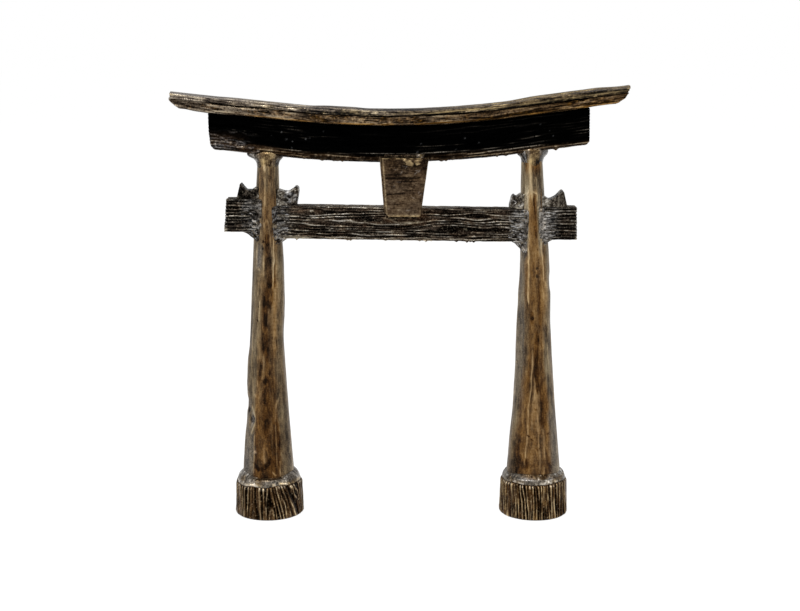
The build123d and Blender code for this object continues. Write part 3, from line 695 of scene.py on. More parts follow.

# Each post leans inwards. Angles are in degrees from the front, rightwards.
# valleys and ridges: (strength, half width in mm, [(height, angle), ...])
# pits: (height, angle, radius, depth); bead: (height, angle, radius)
# shades, patches, greys, muted, bulges and dent: (height, angle, reach up, reach round, strength)
# brownFoot and brownHead: the angles between which the metal is warm, at the foot and at the head; beyond
# them, towards the sides, it is greyer, partly as a painted reflection
leftPost = dict(
    side=-1, heelDia=18.6, leanBelow=0.1, leanAbove=1.4, seed=41, brownness=0.5, redness=0.9,
    brownFoot=(-33, 34), brownHead=(-48, 46), bead=(24.0, -31, 0.55), dent=(40.4, -80, 2.4, 26, 0.3),
    valleys=[
        # the long hollow, which winds from the tie beam down to the waist and dies out below it
        (0.8, 1.2, [(101, 2), (96, 4), (92, 9), (85, 16), (80, 4), (76, -3), (72, -6), (68, -5), (64, -3),
                    (60, 0), (57, 4)]),
        (0.7, 1.2, [(87, 19), (80, 20), (76, 14)]),
        (0.5, 0.7, [(57.5, -12), (53, -17), (49, -22)]),
        (0.6, 1.3, [(57, 5), (51, 6), (47, 0), (38, 0), (30, 0)]),
        # short file cuts; the first, under the head, is partly painted shade beside the neck's painted
        # highlight
        (0.6, 0.5, [(127, 16), (119, 18)]), (0.7, 0.4, [(92, 36), (82, 34)]),
        (0.7, 0.6, [(36, 26), (30, 30), (22, 33)]), (0.5, 0.35, [(45, 10), (36, 12)]),
        (0.5, 0.3, [(66, 36), (60, 38)]),
        # a hooked cut over the heel
        (0.9, 0.75, [(20.3, -33), (17.9, -20), (18.1, -6), (20.2, 6), (22.4, 9)]),
        (0.5, 0.3, [(24.0, 8), (25.6, 14)])],
    ridges=[
        # the first line, down the neck under the head, is a painted highlight raised a little; the rest are
        # worn lines at the head and beside the long hollow
        (0.9, 0.5, [(127.5, -17), (123, -16)]), (0.7, 0.3, [(122, -8), (110, -12)]),
        (0.9, 0.25, [(101, 30), (92, 30), (80.5, 27)]), (0.6, 0.26, [(95, -10), (86, -11)]),
        (0.6, 0.25, [(79, -22), (70, -25)]), (0.6, 0.25, [(98, -52), (93, -50), (89.6, -44), (88.6, -22)]),
        # edge of the flake at mid height
        (0.8, 0.3, [(41.5, -52), (39.0, -42), (36.4, -35.5), (33.6, -36.5), (31.4, -42), (29.5, -50)]),
        # worn lines at the heel
        (0.9, 0.22, [(32, -33), (14.5, -34)]), (0.7, 0.2, [(21, 30), (14.8, 33)]),
        (0.5, 0.3, [(26, -6), (19.5, -5)]), (0.6, 0.24, [(17.4, 12), (15.5, 24)])],
    pits=[
        (98.9, -14, 0.5, 0.4), (97.8, 6, 0.6, 0.4), (96.5, -16, 0.4, 0.4), (95.2, 3, 0.4, 0.3),
        (93, 8, 0.5, 0.3), (100.0, -4, 0.4, 0.3), (75.9, -28, 0.4, 0.35), (71, -31, 0.4, 0.35),
        (49.6, -2, 1.1, 0.15),
        (35.4, -43, 1.6, 0.5), (38.6, -62, 1.0, 0.3), (25.6, -32, 0.6, 0.4), (83.5, 16, 0.8, 0.25)],
    shades=[
        (84, -32, 16, 13, -0.16), (58, 48, 9, 18, -0.16), (49, -26, 10, 11, 0.1), (84, 62, 14, 12, 0.13),
        (28, 33, 6, 9, 0.12), (108, -2, 4, 9, -0.12), (120, -40, 5, 32, -0.25), (63, -16, 6, 7, 0.15),
        (51, 16, 5, 8, -0.16), (45, -18, 3, 7, 0.2), (25, 16, 2.5, 8, -0.2), (20, -16, 2.0, 8, -0.25),
        (88, 16, 7, 6, -0.1), (84, 36, 4, 8, 0.18), (66, -52, 6, 18, -0.12), (104, 52, 9, 14, -0.1),
        (96, 0, 4, 40, -0.09)],
    patches=[
        (76, 35, 16, 14, 0.75), (86, -26, 4, 12, 0.6), (52, 45, 10, 20, 0.4), (46, -35, 8, 12, 0.25),
        (24, -10, 7, 14, 0.35)],
    greys=[(93.4, -37, 4.2, 17, 1.0), (35.4, -44, 3.4, 7, 1.0), (22, -52, 9, 18, 0.8)],
    muted=[(84, -36, 30, 22, 0.5), (45, 0, 14, 40, 0.35), (92, 8, 6, 60, 0.35), (121, 14, 5, 70, 0.35)],
    bulges=[(85, 92, 16, 48, 0.85), (52, -90, 8, 40, 0.5), (22, -90, 9, 40, 0.35)])
rightPost = dict(
    side=1, heelDia=19.5, leanBelow=0.8, leanAbove=1.7, seed=61, brownness=0.7, redness=0.15,
    brownFoot=(-48, 42), brownHead=(-44, 46), bead=(55.5, -75, 0.4), dent=(84.0, 92, 3.0, 30, 0.3),
    valleys=[
        # hollows down the front and the right
        (0.5, 0.9, [(85, 20), (76, 21), (69, 18)]), (0.8, 0.75, [(68, 8), (59, 3), (50, 4), (45, 6)]),
        (0.5, 0.45, [(71, 40), (61, 42)]), (0.4, 1.3, [(50, 26), (40, 24), (33, 20)]),
        (0.6, 1.0, [(46, -48), (30, -50), (15, -48)]), (0.7, 0.6, [(74.5, -13), (69.5, -11)]),
        # cuts at the heel and at the head; the one under the head is partly painted shade beside the neck's
        # painted highlight
        (0.7, 0.5, [(22, -24), (17.5, -19)]), (0.7, 0.6, [(20.3, 30), (18, 40)]),
        (0.7, 0.5, [(127, 16), (121, 18)]), (0.7, 0.35, [(116, 5), (108, 8), (99, 10)]),
        # small curved nicks of a gouge
        (0.8, 0.16, [(40.0, -6), (39.2, -1), (39.5, 3)]), (0.8, 0.16, [(31.0, 27), (30.2, 32), (30.8, 37)]),
        (0.8, 0.16, [(26.0, 0), (25.2, 5), (25.8, 11)]), (0.8, 0.16, [(30.6, -22), (29.7, -18), (30.0, -14)]),
        (0.7, 0.16, [(29.4, -14), (28.6, -9), (28.9, -5)]),
        (0.7, 0.16, [(63.0, 16), (62.2, 20), (61.0, 22)])],
    ridges=[
        # edge of the weld at the joint, and lines over and under it; the one down the neck from the head is a
        # painted highlight raised a little, the others are worn
        (0.8, 0.22, [(110, -31), (115.4, -30), (116.6, -18), (116.6, -4), (115, 20), (111, 25)]),
        (0.9, 0.5, [(127.5, -17), (121, -14), (113, -6)]), (0.7, 0.28, [(112, 24), (103, 33)]),
        (0.9, 0.3, [(101, 35), (83, 36)]), (1.0, 0.3, [(98.5, -23), (75, -23)]),
        # one long worn line winds down to the heel, with short ones beside it
        (0.8, 0.2, [(66.5, -10), (55, -9), (46, -14), (40, -20), (31, -20), (23, -24), (15.5, -31)]),
        (0.5, 0.2, [(44, 7), (26, 8), (16, 9)]), (0.4, 0.3, [(66, 42), (53, 50)]),
        (0.5, 0.25, [(52, -2), (42, -3)]), (0.4, 0.25, [(36, 18), (20, 20)])],
    pits=[(89.4, 12, 0.6, 0.6), (86.8, 12, 0.7, 0.4), (72, -9, 0.7, 0.1), (96.0, 16, 0.4, 0.3)],
    shades=[
        (107, -30, 12, 17, 0.42), (106, 28, 12, 8, 0.22), (61, -36, 7, 9, -0.25), (56, 0, 5, 10, -0.4),
        (120, 0, 4, 30, -0.1), (82, 36, 4, 9, 0.18), (39, 12, 12, 11, -0.22), (18, 0, 5, 70, -0.14),
        (27, -36, 5, 9, 0.12), (79, -32, 5, 9, -0.17), (88, 17, 3, 6, -0.2), (61, 36, 5, 7, -0.15),
        (96, -35, 3, 9, -0.2), (120, 36, 5, 9, -0.25), (88, 60, 10, 12, 0.18), (97, -50, 4, 16, -0.2),
        (23, -50, 6, 16, -0.2), (42, -42, 6, 18, 0.12), (122, 60, 7, 14, 0.2)],
    patches=[(80.5, 52, 5, 14, 0.9), (92, 2, 12, 26, 0.35), (30, 2, 14, 24, 0.55)],
    greys=[(70, -57, 30, 20, 0.6), (26, 56, 13, 18, 0.5), (106, -36, 12, 14, 0.6), (106, 33, 11, 9, 0.6)],
    muted=[
        (64, -38, 12, 16, 0.5), (106, 30, 10, 12, 0.8), (106, -42, 11, 14, 0.8), (57, 40, 8, 12, 0.4),
        (60, 36, 14, 11, 0.5), (119.5, 0, 4, 90, 0.7)],
    bulges=[(88, 92, 15, 48, 0.6), (91, -90, 8, 40, -0.3), (66, -90, 9, 40, 0.3), (22, -90, 13, 40, 0.4)])


# Share of the way from the foot to the waist, and from the waist to the head
def postShares(z):
    waist, head = postShape["waist"], postShape["headHeight"]
    return (z - footTop) / (waist - footTop), np.clip((z - waist) / (head - waist), 0, None)


# x of a post's axis: it leans inwards by leanBelow up to the waist and by leanAbove from there
def postAxis(post, z):
    below, above = postShares(z)
    below = np.clip(below, None, 1)
    return footX[post["side"]] - post["side"] * (post["leanBelow"] * below + post["leanAbove"] * above)


# Half the diameter, which falls evenly from heel to waist and from there to the head, less
# 4 * hollow * t (1 - t) below the waist
def postRadius(post, z):
    below, above = postShares(z)
    below = np.clip(below, 0, 1)
    heel, waist, head = post["heelDia"], postShape["waistDia"], postShape["headDia"]
    width = np.where(above > 0, waist + above * (head - waist), heel + below * (waist - heel))
    return width / 2 - 4 * postShape["hollow"] * below * (1 - below)


# Height of the tilted underside of the lintel over x
def undersideAt(x):
    return np.interp(x, *lintelPoint(np.linspace(-65, 65, 400), 0.0, 0.0).T[[0, 2]])


# Rings round an upright axis: x = axis + r sin(angle), y = -r cos(angle), so that angle 0 faces the front
def turned(axis, radius, z, angle):
    turn = np.radians(angle)
    x, y = axis + radius * np.sin(turn), -radius * np.cos(turn)
    return np.stack(np.broadcast_arrays(x, y, z + 0 * turn), -1)


# One row of angles all the way round, and where they lie on a circle, so that clouds close on themselves
def allRound(columns, radius):
    angle = np.linspace(-180, 180, columns, endpoint=False)[None, :]
    return angle, radius * np.sin(np.radians(angle)), -radius * np.cos(np.radians(angle))


# Soft-edged ovals on a post: sum of strength * exp(-(up / reach)^4 - (round / reach)^4)
def ovals(z, angle, places):
    total = 0
    for atZ, atAngle, reachZ, reachAngle, strength in places:
        turn = (angle - atAngle + 180) % 360 - 180
        total = total + strength * np.exp(-((z - atZ) / reachZ) ** 4 - (turn / reachAngle) ** 4)
    return total


# A post is rings of its own radius round its leaning axis. Facets, dents and file marks are clouds drawn out
# upwards. By the way to its path, a valley is 1 - rise(way, 0.55 width, 1.15 width + 0.1), and a ridge is
# exp(-(way / width)^2).
def makePost(post):
    look, seed = postShape, post["seed"]
    head = float(undersideAt(postAxis(post, look["headHeight"])))
    z = np.linspace(footTop, head + look["headOverlap"], look["rows"])[:, None]
    angle, x, y = allRound(look["columns"], 6)
    radius, axis = postRadius(post, z), postAxis(post, z)
    angle, z = angle + 0 * z, z + 0 * angle
    facets = cloud(x, y, z, (3.4, 3.4, 34), seed) - 0.5
    dents = uneven(x, y, z, (3.5, 3.5, 9), seed + 1)
    files = uneven(x, y, z, (1.1, 1.1, 24), seed + 2)
    ripples = np.cos(2 * np.pi * (z / 0.62 + 1.2 * cloud(x, y, z, (3, 3, 3), seed + 4)))
    ragged = 1.1 * uneven(x, y, z, (1.6, 1.6, 4.0), seed + 5)
    mottle = uneven(x, y, z, (1.0, 1.0, 2.2), seed + 8)
    around = radius * np.radians(angle)

    # way to a line through heights and angles, in mm on the surface, with a ragged edge
    def wayTo(path):
        line = [(height, float(postRadius(post, height)) * np.radians(turn)) for height, turn in path]
        return wayToLine(z + ragged, around + 0.7 * ragged, line)

    # way to one place on the surface, in mm
    def wayToSpot(height, turn):
        return np.hypot(z - height, radius * np.radians(angle - turn))

    valley, ridge, pit, hole = (np.zeros(z.shape) for _ in range(4))
    for strength, width, path in post["valleys"]:
        valley = np.maximum(valley, strength * (1 - rise(wayTo(path), 0.55 * width, 1.15 * width + 0.1)))
    for strength, width, path in post["ridges"]:
        ridge = np.maximum(ridge, strength * hump(wayTo(path), 0, width))
    for height, turn, size, depth in post["pits"]:
        near = 1 - rise(wayToSpot(height, turn) + 0.5 * ragged, 0.5 * size, 1.2 * size)
        pit, hole = pit + near, hole + depth * near
    patch = ovals(z, angle, post["patches"])
    grey = ovals(z, angle + 6 * ragged, post["greys"])
    shade = ovals(z + 2 * ragged, angle + 8 * ragged, post["shades"])
    muted = ovals(z, angle + 8 * ragged, post["muted"])
    beadHeight, beadAngle, beadSize = post["bead"]
    beadWay = wayToSpot(beadHeight, beadAngle)
    bead = hump(beadWay, 0, beadSize)
    # warm between two edges and greyer beyond them towards the sides, partly as a painted reflection; the
    # back is painted as the front is
    up = np.clip((z - footTop) / (head - footTop), 0, 1)
    spans = zip(post["brownFoot"], post["brownHead"])
    edges = [low + (high - low) * rise(up, 0.35, 0.6) for low, high in spans]
    folded = np.where(np.abs(angle) > 90, np.sign(angle) * 180 - angle, angle)
    brown = rise(folded + 9 * ragged, edges[0] - 7, edges[0] + 7)
    brown = brown * (1 - rise(folded + 12 * ragged, edges[1] - 12, edges[1] + 12))
    lowRed = post["redness"] * (1 - rise(up, 0.25, 0.5)) * brown
    # long file marks leave crisp lines where two facets meet, raised a little and painted light as thin
    # painted highlights
    arris = np.clip(1 - np.abs(cloud(x, y, z, (1.7, 1.7, 30), seed + 6) - 0.5) / 0.035, 0, 1)
    arris = arris * rise(cloud(x, y, z, (3, 3, 9), seed + 7), 0.45, 0.6)
    lift = look["facet"] * facets + look["dent"] * dents + look["file"] * files - look["valley"] * valley
    lift = lift + look["ridge"] * ridge + 0.06 * arris - 0.8 * hole + 0.012 * ripples * patch + 0.45 * bead
    lift = lift - ovals(z, angle, [post["dent"]]) - 0.22 * grey + ovals(z, angle, post["bulges"]) - 0.14
    tone = look["tone"] + 0.5 * dents + 0.3 * files + 0.28 * mottle - (0.28 - 0.4 * mottle) * valley
    tone = tone + 0.55 * ridge + shade + 0.22 * arris - 0.22 * lowRed - 0.45 * pit - 0.08 * grey
    tone = tone + (0.16 + 0.04 * ripples) * patch + 0.5 * bead - 0.25 * hump(beadWay, 1.6 * beadSize, 0.3)
    tone = tone - 0.10 * plateau(z, 106, 7) + 0.08 * rise(up, 0.62, 0.9)
    warmth = 0.12 + post["brownness"] * brown + 0.5 * lowRed - muted + 0.2 * patch - 0.8 * grey
    warmth = warmth + 0.4 * files + 0.4 * mottle + 0.35 * valley
    rub = 0.55 * ridge + 0.25 * arris + 0.2 * patch * (1 + 0.4 * ripples) + 0.5 * bead - 0.5 * valley
    marks = dict(crest=tone, rub=rub, warm=warmth, silver=0.2 * grey + 0.3 * bead)
    side = sideName[post["side"]]
    points = turned(axis, radius, z, angle)
    makeSkin(f"bronze{side.title()}Post", points, lift, marks, (z, x, y), "post_bronze", side + "_post")


makePost(leftPost)
makePost(rightPost)
print("posts made")


# Drum feet carved with upright ridges. Sizes in mm.
footLook = dict(carve=0.5, rim=0.8, heel=0.3, taper=0.4, core=6.0, columns=330)
# By side. slant: sideways lean of the grooves per mm of height, between the angles leanFrom and leanTo.
# rimRise and rimWave: how far the rim stands over the CAD's and how far it waves round it
feet = {
    -1: dict(pitch=1.45, sharpness=16, warm=0.5, slant=0.16, leanFrom=0, leanTo=60,
             rimRise=0.0, rimWave=1.3, seed=81),
    1: dict(pitch=1.12, sharpness=9, warm=0.75, slant=0.03, leanFrom=-200, leanTo=200,
            rimRise=0.75, rimWave=0.5, seed=91)}


# Height added to the rim round a foot: rimRise + rimWave * (cloud - 0.5), the cloud read on a circle
def rimLift(side, angle):
    turn = np.radians(angle)
    wave = cloud(12 * np.sin(turn), -12 * np.cos(turn), 0 * turn, (4.5, 4.5, 1), 96 + side) - 0.5
    return feet[side]["rimRise"] + feet[side]["rimWave"] * wave


# A foot is a turned outline. Its grooves are ripples of count * angle / 360, bent by clouds, as many whole
# ones as fit round it; each ridge and each groove has a strength of its own.
def makeFoot(side):
    look, own = footLook, feet[side]
    low, high = footBox[side]
    radius, height, seed = (high[0] - low[0]) / 2, high[2], own["seed"]
    topRadius = radius - look["taper"]
    profile = [(0.15, 0), (radius - look["heel"], 0), (radius, look["heel"]),
               (topRadius, height - look["rim"]), (topRadius - look["rim"], height), (look["core"], height),
               (0.15, height)]
    r, z = (line[:, None] for line in roundedLine(profile, 90, 0.45, False)[:2])
    angle, x, y = allRound(look["columns"], 12)
    count = round(2 * np.pi * radius / own["pitch"])
    slant = own["slant"] * rise(angle, own["leanFrom"], own["leanFrom"] + 12)
    slant = slant * (1 - rise(angle, own["leanTo"], own["leanTo"] + 15))
    turns = count * angle / 360 + 3.4 * uneven(x, y, z, (5.5, 5.5, 34), seed)
    turns = (turns + 0.6 * (cloud(x, y, z, (1.6, 1.6, 6), seed + 1) - 0.5) + slant * (z - height)) % count
    wave = ripple(turns)
    ofLine = cloud(3.7 * np.round(turns), z, 0 * z, (1, 5, 1), seed + 2)
    ofGroove = cloud(5.3 * np.floor(turns), z, 0 * z, (1, 8, 1), seed + 3)
    line = wave ** own["sharpness"] * (0.12 + 0.88 * rise(ofLine, 0.22, 0.6))
    groove = (1 - wave) ** 1.8 * (0.1 + 0.9 * rise(ofGroove, 0.25, 0.55))
    mantle = rise(r, topRadius - 0.75, topRadius - 0.1) * rise(z, 0.0, 0.25)
    nearFloor = 1 - rise(z, 0.2, 1.6)
    lump = uneven(x, y, z, (1.5, 1.5, 2.2), seed + 4)
    # painted highlights round the top rim: the ridge lines are painted lighter there, and sparkle paints
    # glints on the ridges' tops
    rim = rise(z, height - 1.5, height - 0.5) * mantle
    sparkle = rise(roughCloud(x, y, z, (1.8, 1.8, 1.3), seed + 5), 0.5, 0.6) * rim
    lift = -look["carve"] * groove * mantle * (1 - 0.45 * rim) * (1 - 0.4 * nearFloor)
    lift = lift + 0.10 * (line - 1) * mantle + 0.16 * lump * mantle - 0.04 + 0 * r
    tone = 0.43 + 0.5 * line - 0.5 * groove + 0.4 * lump + 0.3 * rim * line + 0.5 * sparkle * wave
    atRim = rise(z, height - 3.5, height - 1) * rise(r, topRadius - 2.5, topRadius - 0.6)
    z = z + rimLift(side, angle) * atRim
    marks = dict(crest=tone * mantle + 0.3 * (1 - mantle), warm=own["warm"] + 0.6 * lump - 0.2 * rim,
                 rub=(0.6 * line * ofLine + 0.5 * sparkle * wave) * mantle, silver=0.35 * sparkle * wave)
    name, points = sideName[side], turned(footX[side], r, z, angle)
    makeSkin(f"bronze{name.title()}Foot", points, lift, marks, (z, x, y), "foot_bronze", name + "_foot")


# The turned welds, by side: shoulders on the feet and flared collars under the lintel. In mm and degrees.
# dull: taken from the cloud that lets the rim shine; cheek: tone added round the right side;
# face: half width of the smooth front; flat: strength of the flat to the right; web: reach to the left
shoulderLook = dict(height=3.0, rim=11.2, swell=0.15, skin=0.12, frontRise=0.7)
shoulders = {-1: dict(tone=0.61, dull=0.0, polish=0.0, cheek=-0.05, rub=1.0, seed=101),
             1: dict(tone=0.56, dull=0.09, polish=1.0, cheek=0.1, rub=0.35, seed=111)}
collarLook = dict(drop=5.0, lap=1.7, lip=5.3)
collars = {-1: dict(tone=0.42, face=40, flat=0.0, web=1.7, seed=121),
           1: dict(tone=0.33, face=28, flat=1.0, web=0.0, seed=131)}


# A turned cushion from the post's skin down to the rim of the foot, lumpy, with painted highlights along its
# rim in places
def makeShoulder(post):
    side, look = post["side"], shoulderLook
    own = shoulders[side]
    rim, neck = look["rim"], float(postRadius(post, footTop + look["height"])) + look["skin"]
    profile = [(0.2, footTop - 0.4), (rim + look["swell"], footTop - 0.4), (rim, footTop),
               ((rim + neck) / 2 + 0.35, footTop + 1.75), (neck - 0.25, footTop + look["height"] + 0.3),
               (0.2, footTop + look["height"])]
    r, z = (line[:, None] for line in roundedLine(profile, 60, 0.6, False)[:2])
    angle, x, y = allRound(150, 10)
    angle, up = angle + 0 * z, z - footTop
    lump = uneven(x, y, z, (3.0, 3.0, 2.0), own["seed"])
    fine = uneven(x, y, z, (1.0, 1.0, 0.9), own["seed"] + 1)
    outer = rise(r, neck - 0.5, neck + 0.2)
    centre = plateau(angle, 2, 30) * rise(up, 1.5, 2.6)
    sparkle = rise(fine + 0.5 * lump, 0.20, 0.30)
    shine = hump(up, 0.25 + 0.5 * lump, 0.34) * rise(r, rim - 0.9, rim - 0.3)
    shine = shine * rise(roughCloud(x, y, 0 * z, (1.5, 1.5, 1), own["seed"] + 2) - own["dull"], 0.44, 0.54)
    shine = shine * (1 - 0.6 * rise(np.abs(angle), 45, 65))
    # two painted highlight streaks
    polish = hump(angle, -20, 13) * hump(up, 1.8, 0.4) + 0.8 * hump(angle, 30, 6) * hump(up, 1.8, 0.5)
    polish = own["polish"] * polish
    lift = (0.40 * lump + 0.05 * fine) * outer + 0.15 * rise(np.abs(angle), 40, 80) + 0.12 * shine
    tone = own["tone"] + 0.38 * lump + 0.4 * fine + 0.35 * sparkle - 0.2 * centre + 0.5 * shine
    tone = tone + 0.35 * polish * rise(fine, -0.25, 0.1) + own["cheek"] * rise(angle, 40, 60)
    rub = (0.3 * rise(r, rim - 0.6, rim) * rise(fine, -0.05, 0.15) + 0.8 * shine) * own["rub"]
    marks = dict(crest=tone, rub=rub, warm=0.12 + 0.75 * centre + 0.6 * rise(-lump, 0.05, 0.25),
                 silver=0.4 * sparkle + 0.7 * shine * rise(-angle, -20, 20) + 0.8 * polish)
    z = z + rimLift(side, angle) * rise(r, neck + 0.8, rim - 0.4)
    z = z + side * look["frontRise"] * plateau(angle, 0, 45) * (1 - rise(r, neck, neck + 1.2))
    name, points = sideName[side], turned(footX[side], r, z, angle)
    makeSkin(f"brazed{name.title()}Shoulder", points, lift, marks, (z, x, y), "weld_bronze",
             name + "_foot_weld")


# A turned flare from the post's skin up to its lip under the lintel, along the post's lean: a smooth dome
# in front, a flat to its right on one side, a web out to the left on the other
def makeCollar(post):
    side, look = post["side"], collarLook
    own, drop = collars[side], look["drop"]
    axis = float(postAxis(post, postShape["headHeight"]))
    head = float(undersideAt(axis))
    neck, lip = float(postRadius(post, head - drop)), look["lip"]
    profile = [(0.2, -drop - 0.5), (neck - 0.5, -drop - 0.5), (neck - 0.05, -drop * 0.7),
               (neck + 0.25, -drop * 0.4), (lip - 0.5, -0.9), (lip, 0.1), (lip - 0.2, 0.9),
               (lip - 1.1, look["lap"] + 0.1), (0.2, look["lap"] + 0.1)]
    r, z = (line[:, None] for line in roundedLine(profile, 70, 0.8, False)[:2])
    angle, x, y = allRound(110, 5)
    angle = angle + 0 * z
    lump = uneven(x, y, z, (2.0, 2.0, 1.8), own["seed"])
    fine = uneven(x, y, z, (0.8, 0.8, 1.6), own["seed"] + 1)
    face = plateau(angle, 2, own["face"])
    flat = own["flat"] * plateau(angle, 62, 22)
    # the hollow beside the dome, cut in a little and painted dark as painted shadow, the flare at both sides
    # and the web
    shadow = hump(angle, 19, 8) * (1 - rise(z, -2.6, -1.4))
    flare = plateau(np.abs(angle), 85, 35) * rise(z, -2.6, -0.6)
    web = plateau(angle, -88, 30) * rise(z, -1.8, 0.2) ** 2 * (1 - rise(z, 0.6, 1.2))
    lift = 0.30 * lump * (1 - 0.7 * face) + 0.15 * fine * (1 - face)
    lift = lift - 0.15 * flat + 0.4 * flare - 0.2 * shadow
    tone = own["tone"] + 0.45 * lump + 0.6 * fine * (1 - 0.5 * face) * (1 - 0.7 * flat)
    tone = tone + 0.14 * face + 0.3 * flat - 0.4 * shadow
    shine = 1.3 * hump(angle, -15, 13) * hump(z, -3.2, 1.6) + 0.35 * face * rise(lump, 0.0, 0.2)
    marks = dict(crest=tone, rub=0.8 * shine * rise(lump, -0.25, 0.05), warm=0.2 + 0.7 * face - 0.2 * flat,
                 silver=0.45 * (1 - face) * rise(fine, 0.02, 0.18) + 0.25 * flat)
    lean = side * post["leanAbove"] / (postShape["headHeight"] - postShape["waist"])
    points = turned(axis - lean * z, r + own["web"] * web, head + z, angle)
    name = sideName[side]
    makeSkin(f"brazed{name.title()}Collar", points, lift, marks, (z, x, y), "weld_bronze",
             name + "_head_weld")


for side in (-1, 1):
    makeFoot(side)
for post in (leftPost, rightPost):
    makeShoulder(post)
for post in (leftPost, rightPost):
    makeCollar(post)
print("feet and turned welds made")


# The tie beam in three lengths. Sizes in mm; slope is its fall to the right per mm.
tieLook = dict(
    height=11.6, depth=7.6, corner=0.4, slope=np.tan(np.radians(-0.85)), middle=105.0, bury=1.2, carve=0.42,
    pitch=1.12, lineSharpness=17, grooveSharpness=2.0)
tieMiddle = dict(
    columns=220, body=270, tone=0.42, bend=1.9, bendCell=(21, 5, 5), lineRun=7,
    # (way along, height over the lower edge, reach along, reach across, push)
    knots=[(-30, 9.4, 4.5, 1.6, 1.2), (-22, 6.0, 11, 1.6, 0.9), (0, 6.8, 12, 2.6, 1.2),
           (17, 4.2, 8, 1.7, 1.0), (27, 8.6, 5, 1.5, 1.4), (36, 4.0, 5, 1.6, 1.0), (-10, 2.0, 6, 1.2, 0.6)],
    # lumps of spilt metal along the top: (way along, depth, radius, height)
    lumps=[(22, -2.0, 2.6, 0.55), (33.5, -1.8, 3.2, 0.5), (29.5, -2.6, 1.3, 0.35), (39, -1.5, 2.4, 0.5),
           (-14, -2.5, 4, 0.2)])
tieEnd = dict(columns=180, body=60, bend=0.7, bendCell=(16, 4, 4), lineRun=5, deeper=1.15)
# By side: how far an end stands over the middle length, its reach from the post's axis, and its tip's lean
tieEnds = {-1: dict(raised=2.2, reach=14.6, lean=1.0, tone=0.42, seed=151),
           1: dict(raised=0.8, reach=15.2, lean=0.3, tone=0.37, seed=161)}


# Height of the middle length's axis over x: it falls evenly to the right
def tieHeightAt(x):
    return tieLook["middle"] + (x - gateX) * tieLook["slope"]


# Height of the beam's axis where it meets a post, on the outside or the inside of it
def beamLevel(post, outside):
    if outside:
        return tieHeightAt(footX[post["side"]]) + tieEnds[post["side"]]["raised"]
    return tieHeightAt(postAxis(post, tieLook["middle"]))


# Section of the beam, from its back upper edge down, round and back
def tieSection(columns):
    half, tall = tieLook["depth"] / 2, tieLook["height"] / 2
    corners = [(half, tall), (half, -tall), (-half, -tall), (-half, tall)]
    return roundedLine(corners, columns, tieLook["corner"], True)


# The middle length is a bar from post to post. It is cut in by carve * (0.75 (1 - ridge) + 0.5 groove), but
# not on a smooth patch in the middle, and less where the carving fades out along its worn edges.
def makeTieMiddle():
    look = dict(tieLook, **tieMiddle)
    level = look["middle"]
    start = postAxis(leftPost, level) + postRadius(leftPost, level) - look["bury"]
    stop = postAxis(rightPost, level) - postRadius(rightPost, level) + look["bury"]
    across, up, around, girth = tieSection(look["columns"])

    def ends(y, n):
        return start + 0 * n, stop + 0 * n

    s, y, n = barSurface(across, up, barRows(look["body"], 5, 3), 0.3, ends)
    lowFront = look["height"] + look["depth"]  # way round to the front lower edge
    knots = [(atS, lowFront + high, *reach) for atS, high, *reach in look["knots"]]
    wave, line, groove = grain(s, around + 0 * s, s, y, n, closedGrain(dict(look, knots=knots), girth), 141)
    front = rise(-y, 3.0, 3.6)
    lump = uneven(s, y, n, (4.0, 1.6, 1.3), 142)
    fine = uneven(s, y, n, (1.3, 1.0, 0.6), 143)
    smooth = plateau(s, 3, 8) * plateau(n, 2.6, 2.6) * front
    wornLow = rise(-n, 3.9, 4.9) * rise(cloud(s, y, n, (9, 4, 4), 144), 0.3, 0.6)
    quiet = np.clip(0.65 * rise(n, 4.4, 5.4) + 0.55 * wornLow, 0, 0.8) * front
    nick = veins(s + 0.8 * n, y, n - 0.8 * s, (0.9, 5, 5), 145, 6) * hump(s, -30, 4) * front * rise(n, 0, 2)
    beads = spots(s, n, beadRow(146, 70, -42, 42, -2.5, 2.4, 0.26, 1.0)) * front
    lowBeads = spots(s, n, beadRow(147, 18, -40, 42, -5.75, 0.2, 0.38, 1.0)) * front
    topLumps = spots(s, y, look["lumps"]) * rise(n, 4.6, 5.6)
    # silver smear of the welding: 1 at the posts' sides, gone 5 mm away from them
    z = level + n
    gaps = [np.abs(s - postAxis(post, z)) - postRadius(post, z) for post in (leftPost, rightPost)]
    weld = 1 - rise(np.minimum(*gaps), 0.3, 5.0)
    carved = (1 - smooth) * (1 - quiet) * (1 - 0.3 * weld)
    lift = -look["carve"] * (0.75 * (1 - wave) + 0.5 * groove) * carved + 0.30 * lump + 0.12 * fine
    lift = lift + 0.16 * beads + 0.5 * lowBeads + 0.9 * topLumps - 0.25 * smooth + 0.08 * nick - 0.06
    tone = look["tone"] + (0.62 * line - 0.52 * groove) * (1 - 0.9 * smooth) * (1 - 0.6 * quiet)
    tone = tone + 0.3 * lump + 0.45 * fine + 0.3 * beads + 0.25 * nick + 0.08 * quiet - 0.06 * smooth
    tone = tone + 0.2 * rise(-n, 4.4, 5.2) * front
    goldEdge = hump(s, -35.5, 3.0) * rise(-n, 4.4, 5.2) * front
    marks = dict(crest=tone, rub=0.25 * line * rise(lump, -0.1, 0.3) + 0.7 * goldEdge + 0.3 * beads,
                 warm=0.3 + 0.9 * lump + 0.5 * smooth - 0.5 * weld - 0.3 * line,
                 silver=weld * (0.1 + 0.8 * line) * rise(fine, -0.1, 0.15))
    points = np.stack([s, y, tieHeightAt(s) + n], -1)
    makeSkin("bronzeTieBeamMiddle", points, lift, marks, (s, y, n), "beam_bronze", "tie_beam_middle")


